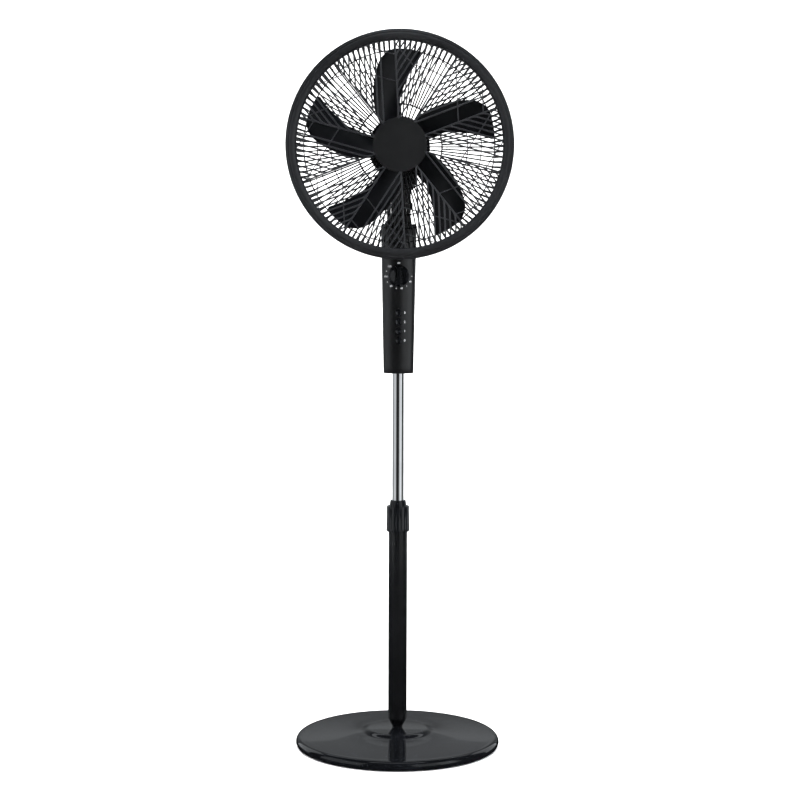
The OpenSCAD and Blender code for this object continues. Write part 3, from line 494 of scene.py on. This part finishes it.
def cover_line(inset, count):
    """The cover's outer line: a rolled edge, a shallow dome, a soft step, and a domed crown."""
    line = arc(BASE_R - 0.011, 0.009, 0.011 - inset, -40, 86, count)
    for i in range(1, count):
        t = i / count
        r = BASE_R - 0.011 + (STEP_R + STEP_W - BASE_R + 0.011) * t
        line.append((r, EDGE_H - 0.0005 + (FOOT_Z - EDGE_H) * (0.9 * t - 0.35 * t * t + 0.45 * t ** 5) - inset))
    for i in range(count + 1):
        t = i / count
        r = STEP_R + STEP_W * (1 - 2 * t)
        line.append((r, FOOT_Z - 0.0003 + (TOP_Z - 0.0012 - FOOT_Z) * (1 - cos(pi * t)) / 2 - inset))
    for i in range(1, 6):
        t = i / 5
        r = STEP_R - STEP_W + (HOLE_R + 0.0007 - STEP_R + STEP_W) * t
        line.append((r, TOP_Z - 0.0015 + 0.0015 * (2 * t - t * t) - inset))
    return line


outer = cover_line(0, 14)
inner = cover_line(0.003, 8)
outline = [(BASE_R - 0.006, 0.0015)] + outer + [(HOLE_R + 0.0006, TOP_Z), (HOLE_R, TOP_Z - 0.0006)]
outline += [(HOLE_R, 0.017), (HOLE_R + 0.005, 0.017)]
outline += [(HOLE_R + 0.005, TOP_Z - 0.003)] + list(reversed(inner[:-1])) + [(BASE_R - 0.008, 0.0015)]
cover = add_piece("base_cover_skin", lathe(outline, 256), "stand", BASE_BLACK, smooth=50)
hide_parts("base_cover")
print("base cover radius", round(BASE_R, 4), "points in the outline", len(outline))

# %% [markdown]
# ## The guard's band
# The front band is the widest part of the head: a plastic channel with a rounded front,
# a shallow step close to its outer edge, and a lip where the grille joins it. It is turned
# about the fan's axis in the head's own frame.

# %% Turn the band
band_back, band_front = station("guard_band")
BAND_IN = GUARD_R - 0.021


def band_outline():
    front = band_front
    out = [(GUARD_R, band_back), (GUARD_R, front - 0.015)]
    out += arc(GUARD_R - 0.008, front - 0.0105, 0.008, 8, 62, 8)
    out += [(GUARD_R - 0.0048, front - 0.0024), (GUARD_R - 0.0062, front - 0.0023)]
    out += arc(GUARD_R - 0.0125, front - 0.0062, 0.0062, 40, 100, 8)
    out += arc(BAND_IN + 0.005, front - 0.0072, 0.005, 118, 180, 7)
    out += [(BAND_IN, band_back + 0.004), (BAND_IN + 0.0006, band_back)]
    wall = 0.0024
    out += [(BAND_IN + wall, band_back), (BAND_IN + wall, front - 0.012)]
    out += [(BAND_IN + 0.006, front - 0.006), (GUARD_R - 0.009, front - 0.0055)]
    out += [(GUARD_R - wall, front - 0.014), (GUARD_R - wall, band_back)]
    return out


band = add_piece("guard_band_ring", lathe(band_outline(), 288), "head", SATIN, FACING, 40)
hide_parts("guard_band")
print("band runs from", round(BAND_IN, 4), "to", round(GUARD_R, 4))

# %% [markdown]
# ## The front grille
# The grille is a pinwheel with ten arms. From each arm, ribs leave at regular steps, all
# parallel to the next arm, and run straight to the band. Where a rib leaves its arm it turns
# through a small smooth bend. Two thin cross ribs in each field tie the ribs together. One
# arm's worth of paths is written once and turned ten times.

# %% Sweep the ribs
FOLDS = 10
FIRST_ARM = radians(93)
RIB_STEP = 0.01725
CAP_R = (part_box("centre_cap")[1].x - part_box("centre_cap")[0].x) / 2
grille_back, grille_front = station("front_grille")
GRILLE_MID = (grille_back + grille_front) / 2
SECTOR = 2 * pi / FOLDS


def to_rim(x, y, angle, radius):
    """How far a line from (x, y) runs before it meets a circle."""
    along = x * cos(angle) + y * sin(angle)
    return -along + sqrt(along * along + radius * radius - x * x - y * y)


def crown_height(r):
    """The grille stands forward a little towards its middle."""
    return GRILLE_MID + 0.0022 * (1 - (r / BAND_IN) ** 2)


def lifted(points):
    return [(p[0], p[1], crown_height(hypot(p[0], p[1]))) for p in points]


def straight(a, b, count):
    return [
        (a[0] + (b[0] - a[0]) * i / count, a[1] + (b[1] - a[1]) * i / count, 0)
        for i in range(count + 1)
    ]


def arm_paths():
    """The paths of one arm along +X: its ribs, and the two cross ribs."""
    ribs, ties = [], []
    start = CAP_R - 0.0033
    count = int((BAND_IN - CAP_R) / RIB_STEP) + 1
    for i in range(count):
        x = start + i * RIB_STEP
        length = to_rim(x, 0, -SECTOR, BAND_IN + 0.001)
        end = (x + length * cos(SECTOR), -length * sin(SECTOR), 0)
        if i == 0:
            ribs.append(straight((x, 0), end, 8))
        else:
            size = min(0.008, length * 0.4)
            turned = bend((x - 0.02, 0, 0), (x, 0, 0), end, size)
            ribs.append([tuple(p) for p in turned] + straight(turned[-1], end, 6)[1:])
    ribs.append(straight((start, 0), (BAND_IN + 0.001, 0), 10))
    for share in (0.545, 0.777):
        x = GUARD_R * share
        length = to_rim(x, 0, 2 * SECTOR, BAND_IN + 0.001)
        end = (x + length * cos(2 * SECTOR), length * sin(2 * SECTOR))
        ties.append(straight((x, 0), end, 6))
    return ribs, ties


grille = bmesh.new()
rib_paths, tie_paths = arm_paths()
for fold in range(FOLDS):
    spin = Matrix.Rotation(FIRST_ARM + fold * SECTOR, 3, "Z")
    for path in rib_paths:
        sweep(grille, [spin @ Vector(p) for p in lifted(path)], oval(0.0032, 0.004))
    for path in tie_paths:
        sweep(grille, [spin @ Vector(p) for p in lifted(path)], oval(0.0021, 0.0028, 8))
# The ribs' lighter satin colour is painted sheen, not a different plastic.
rib_piece = add_piece("front_grille_ribs", grille, "head", RIB_SATIN_PAINTED_SHEEN, FACING, 60)
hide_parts("front_grille")
print("ribs in the grille:", FOLDS * (len(rib_paths) + len(tie_paths)))

# %% [markdown]
# ## The centre cap
# A plain round cap hides the middle of the grille. Its face is very slightly domed, its edge
# is chamfered, and a skirt behind it snaps into the ribs' inner ring.

# %% Turn the cap
cap_back, cap_front = station("centre_cap")
cap_line = [(0.0, cap_front + 0.0006), (CAP_R * 0.45, cap_front + 0.0004)]
cap_line += [(CAP_R * 0.8, cap_front), (CAP_R - 0.0035, cap_front - 0.0006)]
cap_line += arc(CAP_R - 0.0022, cap_front - 0.0026, 0.0022, 75, 0, 6)
cap_line += [(CAP_R, grille_front - 0.0012), (CAP_R - 0.0015, grille_front - 0.0015)]
cap_line += [(CAP_R - 0.0062, grille_front - 0.0015), (CAP_R - 0.0062, cap_back)]
cap_line += [(CAP_R - 0.008, cap_back), (CAP_R - 0.008, grille_front + 0.0004), (0.0, grille_front + 0.0004)]
cap = add_piece("centre_cap_disc", lathe(cap_line, 128), "head", CAP_SATIN, FACING, 40)
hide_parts("centre_cap")
print("cap radius", round(CAP_R, 4))

# %% [markdown]
# ## The rear guard
# The back of the cage is welded from round wire. Each radial wire leaves the spider's ring,
# runs out across the flat back, and turns forward to the hoop inside the band. Three rings
# are welded across them. The wires are swept with one smooth bend each.

# %% Sweep the wires
WIRES = 120
WIRE_D = 0.0029
BAR_W = 0.0052
grid_back, grid_front = station("rear_guard_grid")
hoop_back, hoop_front = station("rear_guard_hoop")
SPIDER_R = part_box("rear_guard_spider")[1].x
REAR_R = (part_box("rear_guard_grid")[1].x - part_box("rear_guard_grid")[0].x) / 2
HOOP_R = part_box("rear_guard_hoop")[1].x - 0.003
WIRE_Z = grid_back + WIRE_D / 2
bars_lo, bars_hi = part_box("rear_guard_bars")
BAR_R = (bars_hi.x - bars_lo.x) / 2 - WIRE_D / 2

ROOT_R = 0.034
wires = bmesh.new()
corner = (REAR_R - WIRE_D / 2, 0, WIRE_Z)
foot_end = (SPIDER_R - 0.002, 0, WIRE_Z)
rim_end = (BAR_R, 0, hoop_back + 0.002)
turn = bend(foot_end, corner, rim_end, 0.014, 7)
wire_path = [Vector(foot_end), Vector(foot_end).lerp(Vector(corner), 0.5), *turn, Vector(rim_end)]
long_path = [Vector((ROOT_R, 0, WIRE_Z)), *wire_path]
for k in range(WIRES):
    path = wire_path if k % 2 else long_path
    t = 2 * pi * k / WIRES
    spin = Matrix.Rotation(t, 3, "Z")
    side = spin @ Vector((0, 1, 0))
    rings = []
    for i, p in enumerate(path):
        ahead = path[min(i + 1, len(path) - 1)] - path[max(i - 1, 0)]
        up = (spin @ ahead).normalized().cross(side)
        at = spin @ p
        width = WIRE_D + (BAR_W - WIRE_D) * min(1, max(0, (p.z - WIRE_Z) / 0.02))
        rings.append([at + side * x + up * y for x, y in oval(width, WIRE_D, 8)])
    rows = skin(wires, rings)
    wires.faces.new(rows[0])
    wires.faces.new(rows[-1])


def ring_outline(r, z, d, count=10):
    return [(r + d / 2 * cos(2 * pi * i / count), z + d / 2 * sin(2 * pi * i / count)) for i in range(count)]


wire_piece = add_piece("rear_guard_wires", wires, "head", ENAMEL, FACING, 60)
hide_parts("rear_guard_grid", "rear_guard_bars")
for i, (inset, gauge) in enumerate([(0.0014, 0.0026), (0.028, 0.002), (0.055, 0.002)]):
    hoop = lathe(ring_outline(REAR_R - inset, WIRE_Z + WIRE_D * 0.8, gauge), 200)
    add_piece(f"rear_guard_ring_{i}", hoop, "head", ENAMEL, FACING, 60)
print("rear wires:", WIRES, "bend radius side", round(BAR_R, 4))

# %% [markdown]
# ## The blades
# Five broad blades sweep forward from the hub and twist along their length. Each one is
# lofted from closed sections, and each section follows the circle at its own radius. The
# blade is thickest in the middle of its chord and thin at its edges, and its corners are
# rounded by narrowing the last sections.

# %% Loft the blades
hub_back, hub_front = station("fan_blade")
HUB_R = 0.044
TIP_R = 0.188
BLADES = 5
BLADE_MID = station("guard_nut")[0] + 0.010 + 0.027 + 0.005


def share_of(r):
    return (r - HUB_R) / (TIP_R - HUB_R)


def blade_angle(r):
    return 115.5 - 30 * share_of(r) + 2 * share_of(r) ** 2


def blade_half(r):
    return 20.5 - 12 * share_of(r) + 3.5 * share_of(r) ** 2


def blade_section(r, cut_low=0.0, cut_high=0.0, count=16):
    """A closed section along the circle of radius r, cut back in metres at either edge."""
    lean = 0.017 - 0.004 * share_of(r)
    half = blade_half(r)
    low = -1 + cut_low / (r * radians(half))
    high = 1 - cut_high / (r * radians(half))
    out = []
    for side in (1, -1):
        for i in range(count + 1):
            k = (2 * i / count - 1) * side
            s = (low + high) / 2 + k * (high - low) / 2
            thick = 0.0011 * sqrt(max(0.0, 1 - abs(k) ** 4)) + 0.00012
            a = radians(blade_angle(r) + s * half)
            z = BLADE_MID + s * lean + 0.004 * (1 - s * s) + side * thick
            out.append((r * cos(a), r * sin(a), z))
    return out


def corner_cut(r, size):
    """How far a corner of this size takes the edge in, at radius r."""
    into = max(0.0, r - (TIP_R - size)) / size
    return size * (1 - sqrt(max(0.0, 1 - into * into)))


blades = bmesh.new()
INNER_CORNER, OUTER_CORNER = 0.009, 0.024
radii = [HUB_R - 0.004 + (TIP_R - OUTER_CORNER - HUB_R + 0.004) * i / 22 for i in range(23)]
radii += [TIP_R - OUTER_CORNER + OUTER_CORNER * sin(pi / 2 * i / 14) for i in range(1, 15)]
for b in range(BLADES):
    spin = Matrix.Rotation(2 * pi * b / BLADES, 3, "Z")
    rings = []
    for r in radii:
        section = blade_section(r, corner_cut(r, INNER_CORNER), corner_cut(r, OUTER_CORNER))
        rings.append([spin @ Vector(p) for p in section])
    rows = skin(blades, rings)
    blades.faces.new(rows[0])
    blades.faces.new(rows[-1])
hub = [(HUB_R - 0.0008, hub_back)] + [(HUB_R, hub_back + 0.001)]
hub += arc(HUB_R - 0.007, hub_back + 0.062 - 0.004, 0.004, 8, 88, 6)
hub += [(0.0245, hub_back + 0.062), (0.024, hub_back + 0.0615), (0.024, hub_back + 0.044)]
hub += [(0.012, hub_back + 0.042), (0.012, hub_back), (0.0041, hub_back)]
hub += [(0.0041, hub_back + 0.038), (0.021, hub_back + 0.0385)]
hub += [(HUB_R - 0.008, hub_back + 0.038), (HUB_R - 0.0055, hub_back + 0.03), (HUB_R - 0.004, hub_back)]
hub_mesh = lathe(hub, 96)
hub_mesh_data = bpy.data.meshes.new("hub")
hub_mesh.to_mesh(hub_mesh_data)
hub_mesh.free()
blades.from_mesh(hub_mesh_data)
bpy.data.meshes.remove(hub_mesh_data)
wheel = add_piece("fan_wheel", blades, "rotor", BLADE, FACING, 50)
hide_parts("fan_blade")
print("blades:", BLADES, "tip radius", TIP_R)

# %% [markdown]
# ## The lock collar and the collet
# The collar is turned by hand, so its side carries shallow flutes between flat lands. It is a
# stack of level rings whose radius follows the flutes, drawn in at both ends. Above it stands
# the collet's cone, which is split by six slots so that the collar can squeeze it onto the
# tube. Each of the cone's fingers is its own closed wedge, and the sleeve under it is turned.

# %% Shape the collar
collar_lo, collar_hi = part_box("lock_collar")
collet_lo, collet_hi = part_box("collet")
COLLAR_R = collar_hi.x
FLUTES = 14


def flute(t, depth):
    """Radius left by the flutes at angle t: wide lands with narrow grooves between them."""
    wave = (1 + cos(FLUTES * t)) / 2
    return depth * wave ** 3


collar = bmesh.new()
collar_rows = [(collar_lo.z, 0.0012, 0.0), (collar_lo.z + 0.0008, 0.0002, 0.0)]
collar_rows += [(collar_lo.z + 0.004, 0.0, 0.0), (collar_lo.z + 0.006, 0.0001, 0.0009)]
collar_rows += [(collar_hi.z - 0.007, 0.0006, 0.0009), (collar_hi.z - 0.005, 0.0006, 0.0)]
collar_rows += [(collar_hi.z - 0.0008, 0.0007, 0.0), (collar_hi.z, 0.0014, 0.0)]
rings = []
for z, inset, depth in collar_rows:
    turns = [2 * pi * i / 336 for i in range(336)]
    rings.append([((COLLAR_R - inset - flute(t, depth)) * cos(t),
                   (COLLAR_R - inset - flute(t, depth)) * sin(t), z) for t in turns])
bore = TUBE_R + 0.00205
throat = 0.018
for z, r in ((collar_hi.z, throat), (collar_hi.z - 0.0027, throat), (collar_hi.z - 0.0027, bore), (collar_lo.z, bore)):
    rings.append([(r * cos(t), r * sin(t), z) for t in turns])
skin(collar, rings, closed=True)
piece = add_piece("lock_collar_grip", collar, "collar", POLISHED, smooth=40)
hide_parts("lock_collar")

collet = lathe([(0.01215, collet_lo.z), (TUBE_R - 0.0012, collet_lo.z), (TUBE_R - 0.0012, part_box("lower_tube")[1].z),
                (TUBE_R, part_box("lower_tube")[1].z + 0.0001), (TUBE_R, collar_lo.z + 0.001),
                (TUBE_R + 0.002, collar_lo.z + 0.001), (TUBE_R + 0.002, collar_hi.z - 0.0032),
                (0.0172, collar_hi.z - 0.0032), (0.01215, collar_hi.z - 0.0032)], 96)
FINGERS = 6
SLOT = 0.0007
cone_low, cone_top = collar_hi.z - 0.0033, collet_hi.z
cone_line = [(0.01215, cone_low), (0.01745, cone_low), (0.0174, collar_hi.z + 0.001)]
cone_line += [(0.0160, cone_top - 0.0012), (0.0154, cone_top - 0.0002), (0.0145, cone_top), (0.01215, cone_top)]
for f in range(FINGERS):
    middle = 2 * pi * (f + 0.5) / FINGERS
    rings = []
    for i in range(13):
        ring = []
        for r, z in cone_line:
            half = pi / FINGERS - SLOT / r
            t = middle + half * (i / 6 - 1)
            ring.append((r * cos(t), r * sin(t), z))
        rings.append(ring)
    rows = skin(collet, rings)
    collet.faces.new(rows[0])
    collet.faces.new(rows[-1])
piece = add_piece("collet_sleeve", collet, "stand", POLISHED, smooth=40)
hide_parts("collet")
print("collar radius", round(COLLAR_R, 4), "fingers", FINGERS)

# %% [markdown]
# ## The control box
# The box is two shells that meet in a shallow groove. Its front and back are bowed and its
# sides lean in towards the bottom. The shell's level sections are rounded rectangles with a
# bowed front, and they are lofted from the bottom to the top with a rolled upper edge.

# %% Loft the shells
front_lo, front_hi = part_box("box_front_shell")
rear_lo, rear_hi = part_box("box_rear_shell")
BOX_Z0 = front_lo.z
BOX_Z1 = front_hi.z
BOX_FRONT = -front_lo.y
BOX_REAR = rear_hi.y
HALF_TOP = front_hi.x
HALF_LOW = 0.03025
BOW = 0.048
SEAM = 0.0003


def half_width(z):
    return HALF_LOW + (HALF_TOP - HALF_LOW) * min(1, (z - BOX_Z0) / (BOX_Z1 - 0.008 - BOX_Z0))


def bowed_y(x, depth):
    return depth - BOW + sqrt(BOW * BOW - x * x)


def half_section(z, depth, sign, inset, edge, count=22):
    """From the left seam round the bowed face to the right seam, on one side of the seam."""
    half = half_width(z) - inset
    depth = depth - inset
    side_y = bowed_y(half, depth)
    blend_r = 0.0045
    pts = [(-half, sign * (SEAM + edge)), (-half, sign * side_y * 0.5)]
    face = []
    for i in range(count + 1):
        x = -half + 2 * half * i / count
        face.append((x, bowed_y(x, depth)))
    soft = []
    for x, y in face:
        near = max(0, abs(x) - (half - blend_r)) / blend_r
        soft.append((x * (1 - 0.012 * near), y - 0.0016 * near * near))
    pts += [(x, sign * y) for x, y in soft]
    pts += [(half, sign * side_y * 0.5), (half, sign * (SEAM + edge))]
    return pts


def shell(depth, sign, name, node):
    bm = bmesh.new()
    wall = 0.0025
    roll = 0.004
    levels = [(BOX_Z0, 0.001), (BOX_Z0 + 0.0004, 0.0003), (BOX_Z0 + 0.001, 0)]
    levels += [(BOX_Z0 + 0.001 + (BOX_Z1 - 0.006 - BOX_Z0) * i / 24, 0) for i in range(1, 25)]
    for i in range(1, 7):
        t = pi / 2 * i / 6
        levels.append((BOX_Z1 - roll + roll * sin(t) - 0.0002, roll * (1 - cos(t))))
    rings = [
        [(x, y, z) for x, y in half_section(z, depth, sign, inset, 0)] for z, inset in levels
    ]
    inner_levels = [(BOX_Z1 - wall, 0.006), (BOX_Z0 + wall, wall)]
    rings += [
        [(x, y, z) for x, y in half_section(z, depth, sign, inset, 0)] for z, inset in inner_levels
    ]
    rows = skin(bm, rings, closed=True, around=False)
    for column in (0, -1):
        edge = [row[column] for row in rows]
        bm.faces.new(edge if column == 0 else list(reversed(edge)))
    bmesh.ops.triangulate(bm, faces=[f for f in bm.faces if len(f.verts) > 4])
    piece = add_piece(name, bm, "column", BOX_BLACK, smooth=32)
    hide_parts(node)
    return piece


front_shell = shell(BOX_FRONT, -1, "control_box_front", "box_front_shell")
rear_shell = shell(BOX_REAR, 1, "control_box_back", "box_rear_shell")
print("box height", round(BOX_Z1 - BOX_Z0, 4))

# %% [markdown]
# ## The friction pad
# A strip of hard rubber lies on the floor of the fork's slot and rubs on the round end of the
# yoke's tongue, so the head stays where it is tilted. It is a level strip with a hollow top.

# %% Lay the pad
yoke_lo, yoke_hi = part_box("tilt_yoke")
core_lo, core_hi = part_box("neck_core")
bolt_lo, bolt_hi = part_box("tilt_bolt")
TILT_Z = (bolt_lo.z + bolt_hi.z) / 2
TONGUE_R = TILT_Z - yoke_lo.z
PAD_W = 0.0152
PAD_D = 0.013
pad = bmesh.new()
pad_low = TILT_Z - (core_hi.z - TILT_Z) - 0.0021
ends = []
for x in (-PAD_W, PAD_W):
    hollow = [(x, PAD_D * k / 8, TILT_Z - sqrt((TONGUE_R + 0.0004) ** 2 - (PAD_D * k / 8) ** 2)) for k in range(-8, 9)]
    ends.append([(x, -PAD_D, pad_low)] + hollow + [(x, PAD_D, pad_low)])
rows = skin(pad, ends)
pad.faces.new(rows[0])
pad.faces.new(rows[1])
add_piece("fork_friction_pad", pad, "column", RUBBER, smooth=30)
print("pad under the tongue, radius", round(TONGUE_R, 4))

# %% [markdown]
# ## The timer knob
# The knob is one moulding: a disc with two scooped sides that leave an upright grip between
# them, narrow in the middle and wider where it runs into the rim. Its front is a height over
# the disc, sampled on rings, and the ring of points at the edge drops down to form the side.

# %% Shape the knob
knob_lo, knob_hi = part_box("timer_knob")
KNOB_R = (knob_hi.x - knob_lo.x) / 2
KNOB_Z = (knob_lo.z + knob_hi.z) / 2
KNOB_FRONT = -knob_lo.y
CONTROL = Matrix.Translation((0, 0, KNOB_Z)) @ Matrix.Rotation(pi / 2, 4, "X")


def soft_step(x):
    x = min(1.0, max(0.0, x))
    return x * x * (3 - 2 * x)


def knob_height(x, y):
    """Height of the knob's face: a grip between two scoops, inside a rim."""
    r = hypot(x, y) / KNOB_R
    waist = 0.003 + 0.0045 * (y / KNOB_R) ** 4
    grip = 1 - soft_step((abs(x) - waist) / 0.0032)
    rim = soft_step((r - 0.8) / 0.1) * (1 - soft_step((r - 0.92) / 0.08))
    scoop = 0.0034 * soft_step(1.05 - r)
    end = 1 - soft_step((r - 0.8) / 0.16)
    return KNOB_FRONT - 0.0088 - scoop * (1 - grip) + 0.0086 * grip * end + 0.0012 * rim


knob = bmesh.new()
rings = []
for k in range(1, 37):
    r = KNOB_R * 0.985 * k / 36
    turns = [2 * pi * i / 120 for i in range(120)]
    rings.append([(r * cos(t), r * sin(t), knob_height(r * cos(t), r * sin(t))) for t in turns])
low = KNOB_FRONT - 0.0165
for r, z in ((KNOB_R, KNOB_FRONT - 0.0105), (KNOB_R, low + 0.0005), (KNOB_R - 0.0005, low), (0.003, low)):
    rings.append([(r * cos(t), r * sin(t), z) for t in turns])
rings.append([(0.003 * cos(t), 0.003 * sin(t), 0.0102) for t in turns])
rows = skin(knob, rings)
top = knob.verts.new((0, 0, knob_height(0, 0)))
for i in range(120):
    knob.faces.new((top, rows[0][i], rows[0][(i + 1) % 120]))
knob.faces.new(rows[-1])
knob_piece = add_piece("timer_knob_dial", knob, "knob", POLISHED, CONTROL, 40)
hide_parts("timer_knob")
print("knob radius", round(KNOB_R, 4), "front at", round(KNOB_FRONT, 4))

# %% [markdown]
# ## The buttons
# Four round push buttons stand in a column. Each has a shallow dished face for a fingertip,
# a rounded rim, and a flange behind the shell that keeps it in.

# %% Turn the buttons
for i in range(4):
    lo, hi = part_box(f"button_{i}")
    front = -lo.y
    flange = (hi.x - lo.x) / 2
    rim = flange - 0.0014
    outline = [(0.0, front - 0.0017), (rim * 0.35, front - 0.0015), (rim * 0.7, front - 0.0006)]
    outline += arc(rim - 0.0011, front - 0.0011, 0.0011, 100, 0, 7)
    outline += [(rim, front - 0.006), (flange, front - 0.0061), (flange, front - 0.0079)]
    outline += [(flange - 0.0001, front - 0.008), (0.0025, front - 0.008)]
    outline += [(0.0025, -hi.y), (0.0, -hi.y)]
    place = Matrix.Translation((0, 0, (lo.z + hi.z) / 2)) @ Matrix.Rotation(pi / 2, 4, "X")
    piece = add_piece(f"button_{i}_cap", lathe(outline, 64), f"key_{i}", POLISHED, place, 35)
    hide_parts(f"button_{i}")
print("buttons: 4")

# %% [markdown]
# ## The printed marks
# The dial's minutes and the speeds are pad printed on the shell. Each mark is cut from flat
# letters or a dot, given the thickness of the ink, and laid onto the bowed front point by
# point, so it follows the curve. They ride with the column.

# %% Print the marks
INK_T = 0.00025


def lay_on_front(bm, x0, z0):
    """Move a flat mark, drawn in X and Y with its thickness in Z, onto the bowed front."""
    for v in bm.verts:
        x, z, lift = v.co.x + x0, v.co.y + z0, v.co.z
        v.co = Vector((x, -(bowed_y(x, BOX_FRONT) + lift), z))


def print_word(word, size, x0, z0, name):
    curve = bpy.data.curves.new(name + "_letters", "FONT")
    curve.body = word
    curve.size = size
    curve.align_x = "CENTER"
    curve.align_y = "CENTER"
    curve.extrude = INK_T / 2
    curve.offset = size * 0.012
    letters = bpy.data.objects.new(name + "_letters", curve)
    scene.collection.objects.link(letters)
    mesh = letters.evaluated_get(bpy.context.evaluated_depsgraph_get()).to_mesh()
    bm = bmesh.new()
    bm.from_mesh(mesh)
    bpy.data.objects.remove(letters)
    bpy.data.curves.remove(curve)
    bmesh.ops.remove_doubles(bm, verts=bm.verts, dist=1e-6)
    lay_on_front(bm, x0, z0)
    return add_piece(name, bm, "column", INK, smooth=20)


def print_dot(r, x0, z0, name, wide=1.0):
    bm = bmesh.new()
    rings = [[(r * wide * cos(t), r * sin(t), z) for t in (2 * pi * i / 20 for i in range(20))]
             for z in (-INK_T / 2, INK_T / 2)]
    rows = skin(bm, rings)
    bm.faces.new(rows[0])
    bm.faces.new(rows[1])
    lay_on_front(bm, x0, z0)
    return add_piece(name, bm, "column", INK, smooth=20)


MARK_R = 0.0262
marks = [print_dot(0.0013, 0.0, KNOB_Z + MARK_R - 0.001, "dial_mark_zero", 2.6)]
for i, word in enumerate(("120", "100", "80", "60", "40")):
    t = radians(136 + 49 * i)
    marks.append(print_word(word, 0.0048, MARK_R * cos(t), KNOB_Z + MARK_R * sin(t), f"dial_mark_{word}"))
    t = radians(160.5 + 49 * i)
    marks.append(print_dot(0.0008, MARK_R * cos(t), KNOB_Z + MARK_R * sin(t), f"dial_dot_{i}"))
for i in range(4):
    lo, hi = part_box(f"button_{i}")
    marks.append(print_word(str(i), 0.0062, 0.0122, (lo.z + hi.z) / 2, f"speed_mark_{i}"))
print("printed marks:", len(marks))

# %% [markdown]
# ## The studio
# A pale floor runs under the fan and curves up into a wall at both ends, so there is no
# horizon from either side. A
# black product shows only what it reflects, so a photographer keeps white paper out of its
# reflections with black cards. Here the paper is simply left out of glossy rays. Two broad
# soft boxes in front, left and right, draw the streaks on the tubes and the box, and the
# dark gap between them gives the bright tube its dark middle line.

# %% Build the studio
FLOOR_HALF = 14.0
WALL_Y = 6.0
BEND = 2.0
floor_line = [(WALL_Y - BEND, 0.0)]
floor_line += [(WALL_Y - BEND + BEND * sin(radians(a)), BEND - BEND * cos(radians(a))) for a in range(10, 91, 10)]
floor_line += [(WALL_Y, 9.0)]
floor_line = [(-y, z) for y, z in reversed(floor_line)] + floor_line
floor_mesh = bmesh.new()
skin(floor_mesh, [[(x, y, z) for y, z in floor_line] for x in (-FLOOR_HALF, FLOOR_HALF)], around=False)
floor_data = bpy.data.meshes.new("studio_floor")
floor_mesh.to_mesh(floor_data)
floor_mesh.free()
floor_data.shade_smooth()
paper = Recipe("studio_paper")
tone = paper.blend(paper.ramp(paper.noise(2, 2), 0.3, 0.7), (0.86, 0.86, 0.86, 1), (0.88, 0.88, 0.88, 1))
floor_data.materials.append(paper.set(Base_Color=tone, Roughness=0.9 - paper.noise(30, 2) * 0.1))
floor = bpy.data.objects.new("studio_floor", floor_data)
scene.collection.objects.link(floor)
floor.visible_glossy = False


def softbox(name, place, target, width, height, glow, seen=True, tint=(0.93, 0.97, 1.0)):
    """A soft box whose face has the given radiance."""
    light = bpy.data.lights.new(name, "AREA")
    light.shape = "RECTANGLE"
    light.size = width
    light.size_y = height
    light.energy = glow * pi * width * height
    light.color = tint
    lamp = bpy.data.objects.new(name, light)
    scene.collection.objects.link(lamp)
    lamp.location = place
    aim = Vector(target) - Vector(place)
    lamp.rotation_euler = aim.to_track_quat("-Z", "Y").to_euler()
    lamp.visible_glossy = seen
    return lamp


def at(azimuth, distance, height):
    """A place round the fan, in degrees to the right of the camera's side."""
    return (distance * sin(radians(azimuth)), -distance * cos(radians(azimuth)), height)


MIDDLE = (0, 0, 0.9)
softbox("left_box", at(-66, 3.0, 1.3), MIDDLE, 3.1, 3.0, 0.62)
softbox("right_box", at(42, 3.0, 1.3), MIDDLE, 2.9, 3.0, 0.62)
softbox("right_core", at(60, 2.9, 1.3), MIDDLE, 1.4, 2.6, 0.5)
for side in (-1, 1):
    edge = softbox(f"edge_card_{side}", at(side * 128, 2.6, 1.1), MIDDLE, 1.5, 2.4, 0.9)
    edge.visible_camera = False
CARD_STEPS = 9
softbox("back_sheet", (0, 2.2, 0.95), (0, 0, 0.4), 4.0, 1.9, 0.14).visible_camera = False
for step in range(CARD_STEPS):
    grow = 0.3 + 0.7 * (step + 1) / CARD_STEPS
    place = (0, 2.19 - step * 0.01, 0.92)
    softbox(f"back_glow_{step}", place, (0, 0, 0.92), 2.2 * grow, 1.1 * grow, 0.034).visible_camera = False
softbox("high_card", (0, 1.5, 2.0), (0, 0, 0), 2.6, 0.45, 1.0).visible_camera = False
softbox("top_strip", (0, -0.4, 3.4), (0, 0, 0), 2.2, 0.5, 1.6)
softbox("overhead", (0, -0.2, 4.6), (0, 0, 0), 4.5, 4.5, 5.5, seen=False, tint=(1, 1, 1))
for side in (-1, 1):
    softbox(f"wall_wash_{side}", (0, side * 2.6, 5.0), (0, side * 6.0, 1.0), 8.0, 2.2, 11, seen=False, tint=(1, 1, 1))
world = bpy.data.worlds.new("studio_air")
world.use_nodes = True
world.node_tree.nodes["Background"].inputs["Color"].default_value = (1, 1, 1, 1)
world.node_tree.nodes["Background"].inputs["Strength"].default_value = 0.02
scene.world = world
scene.view_settings.view_transform = "Standard"
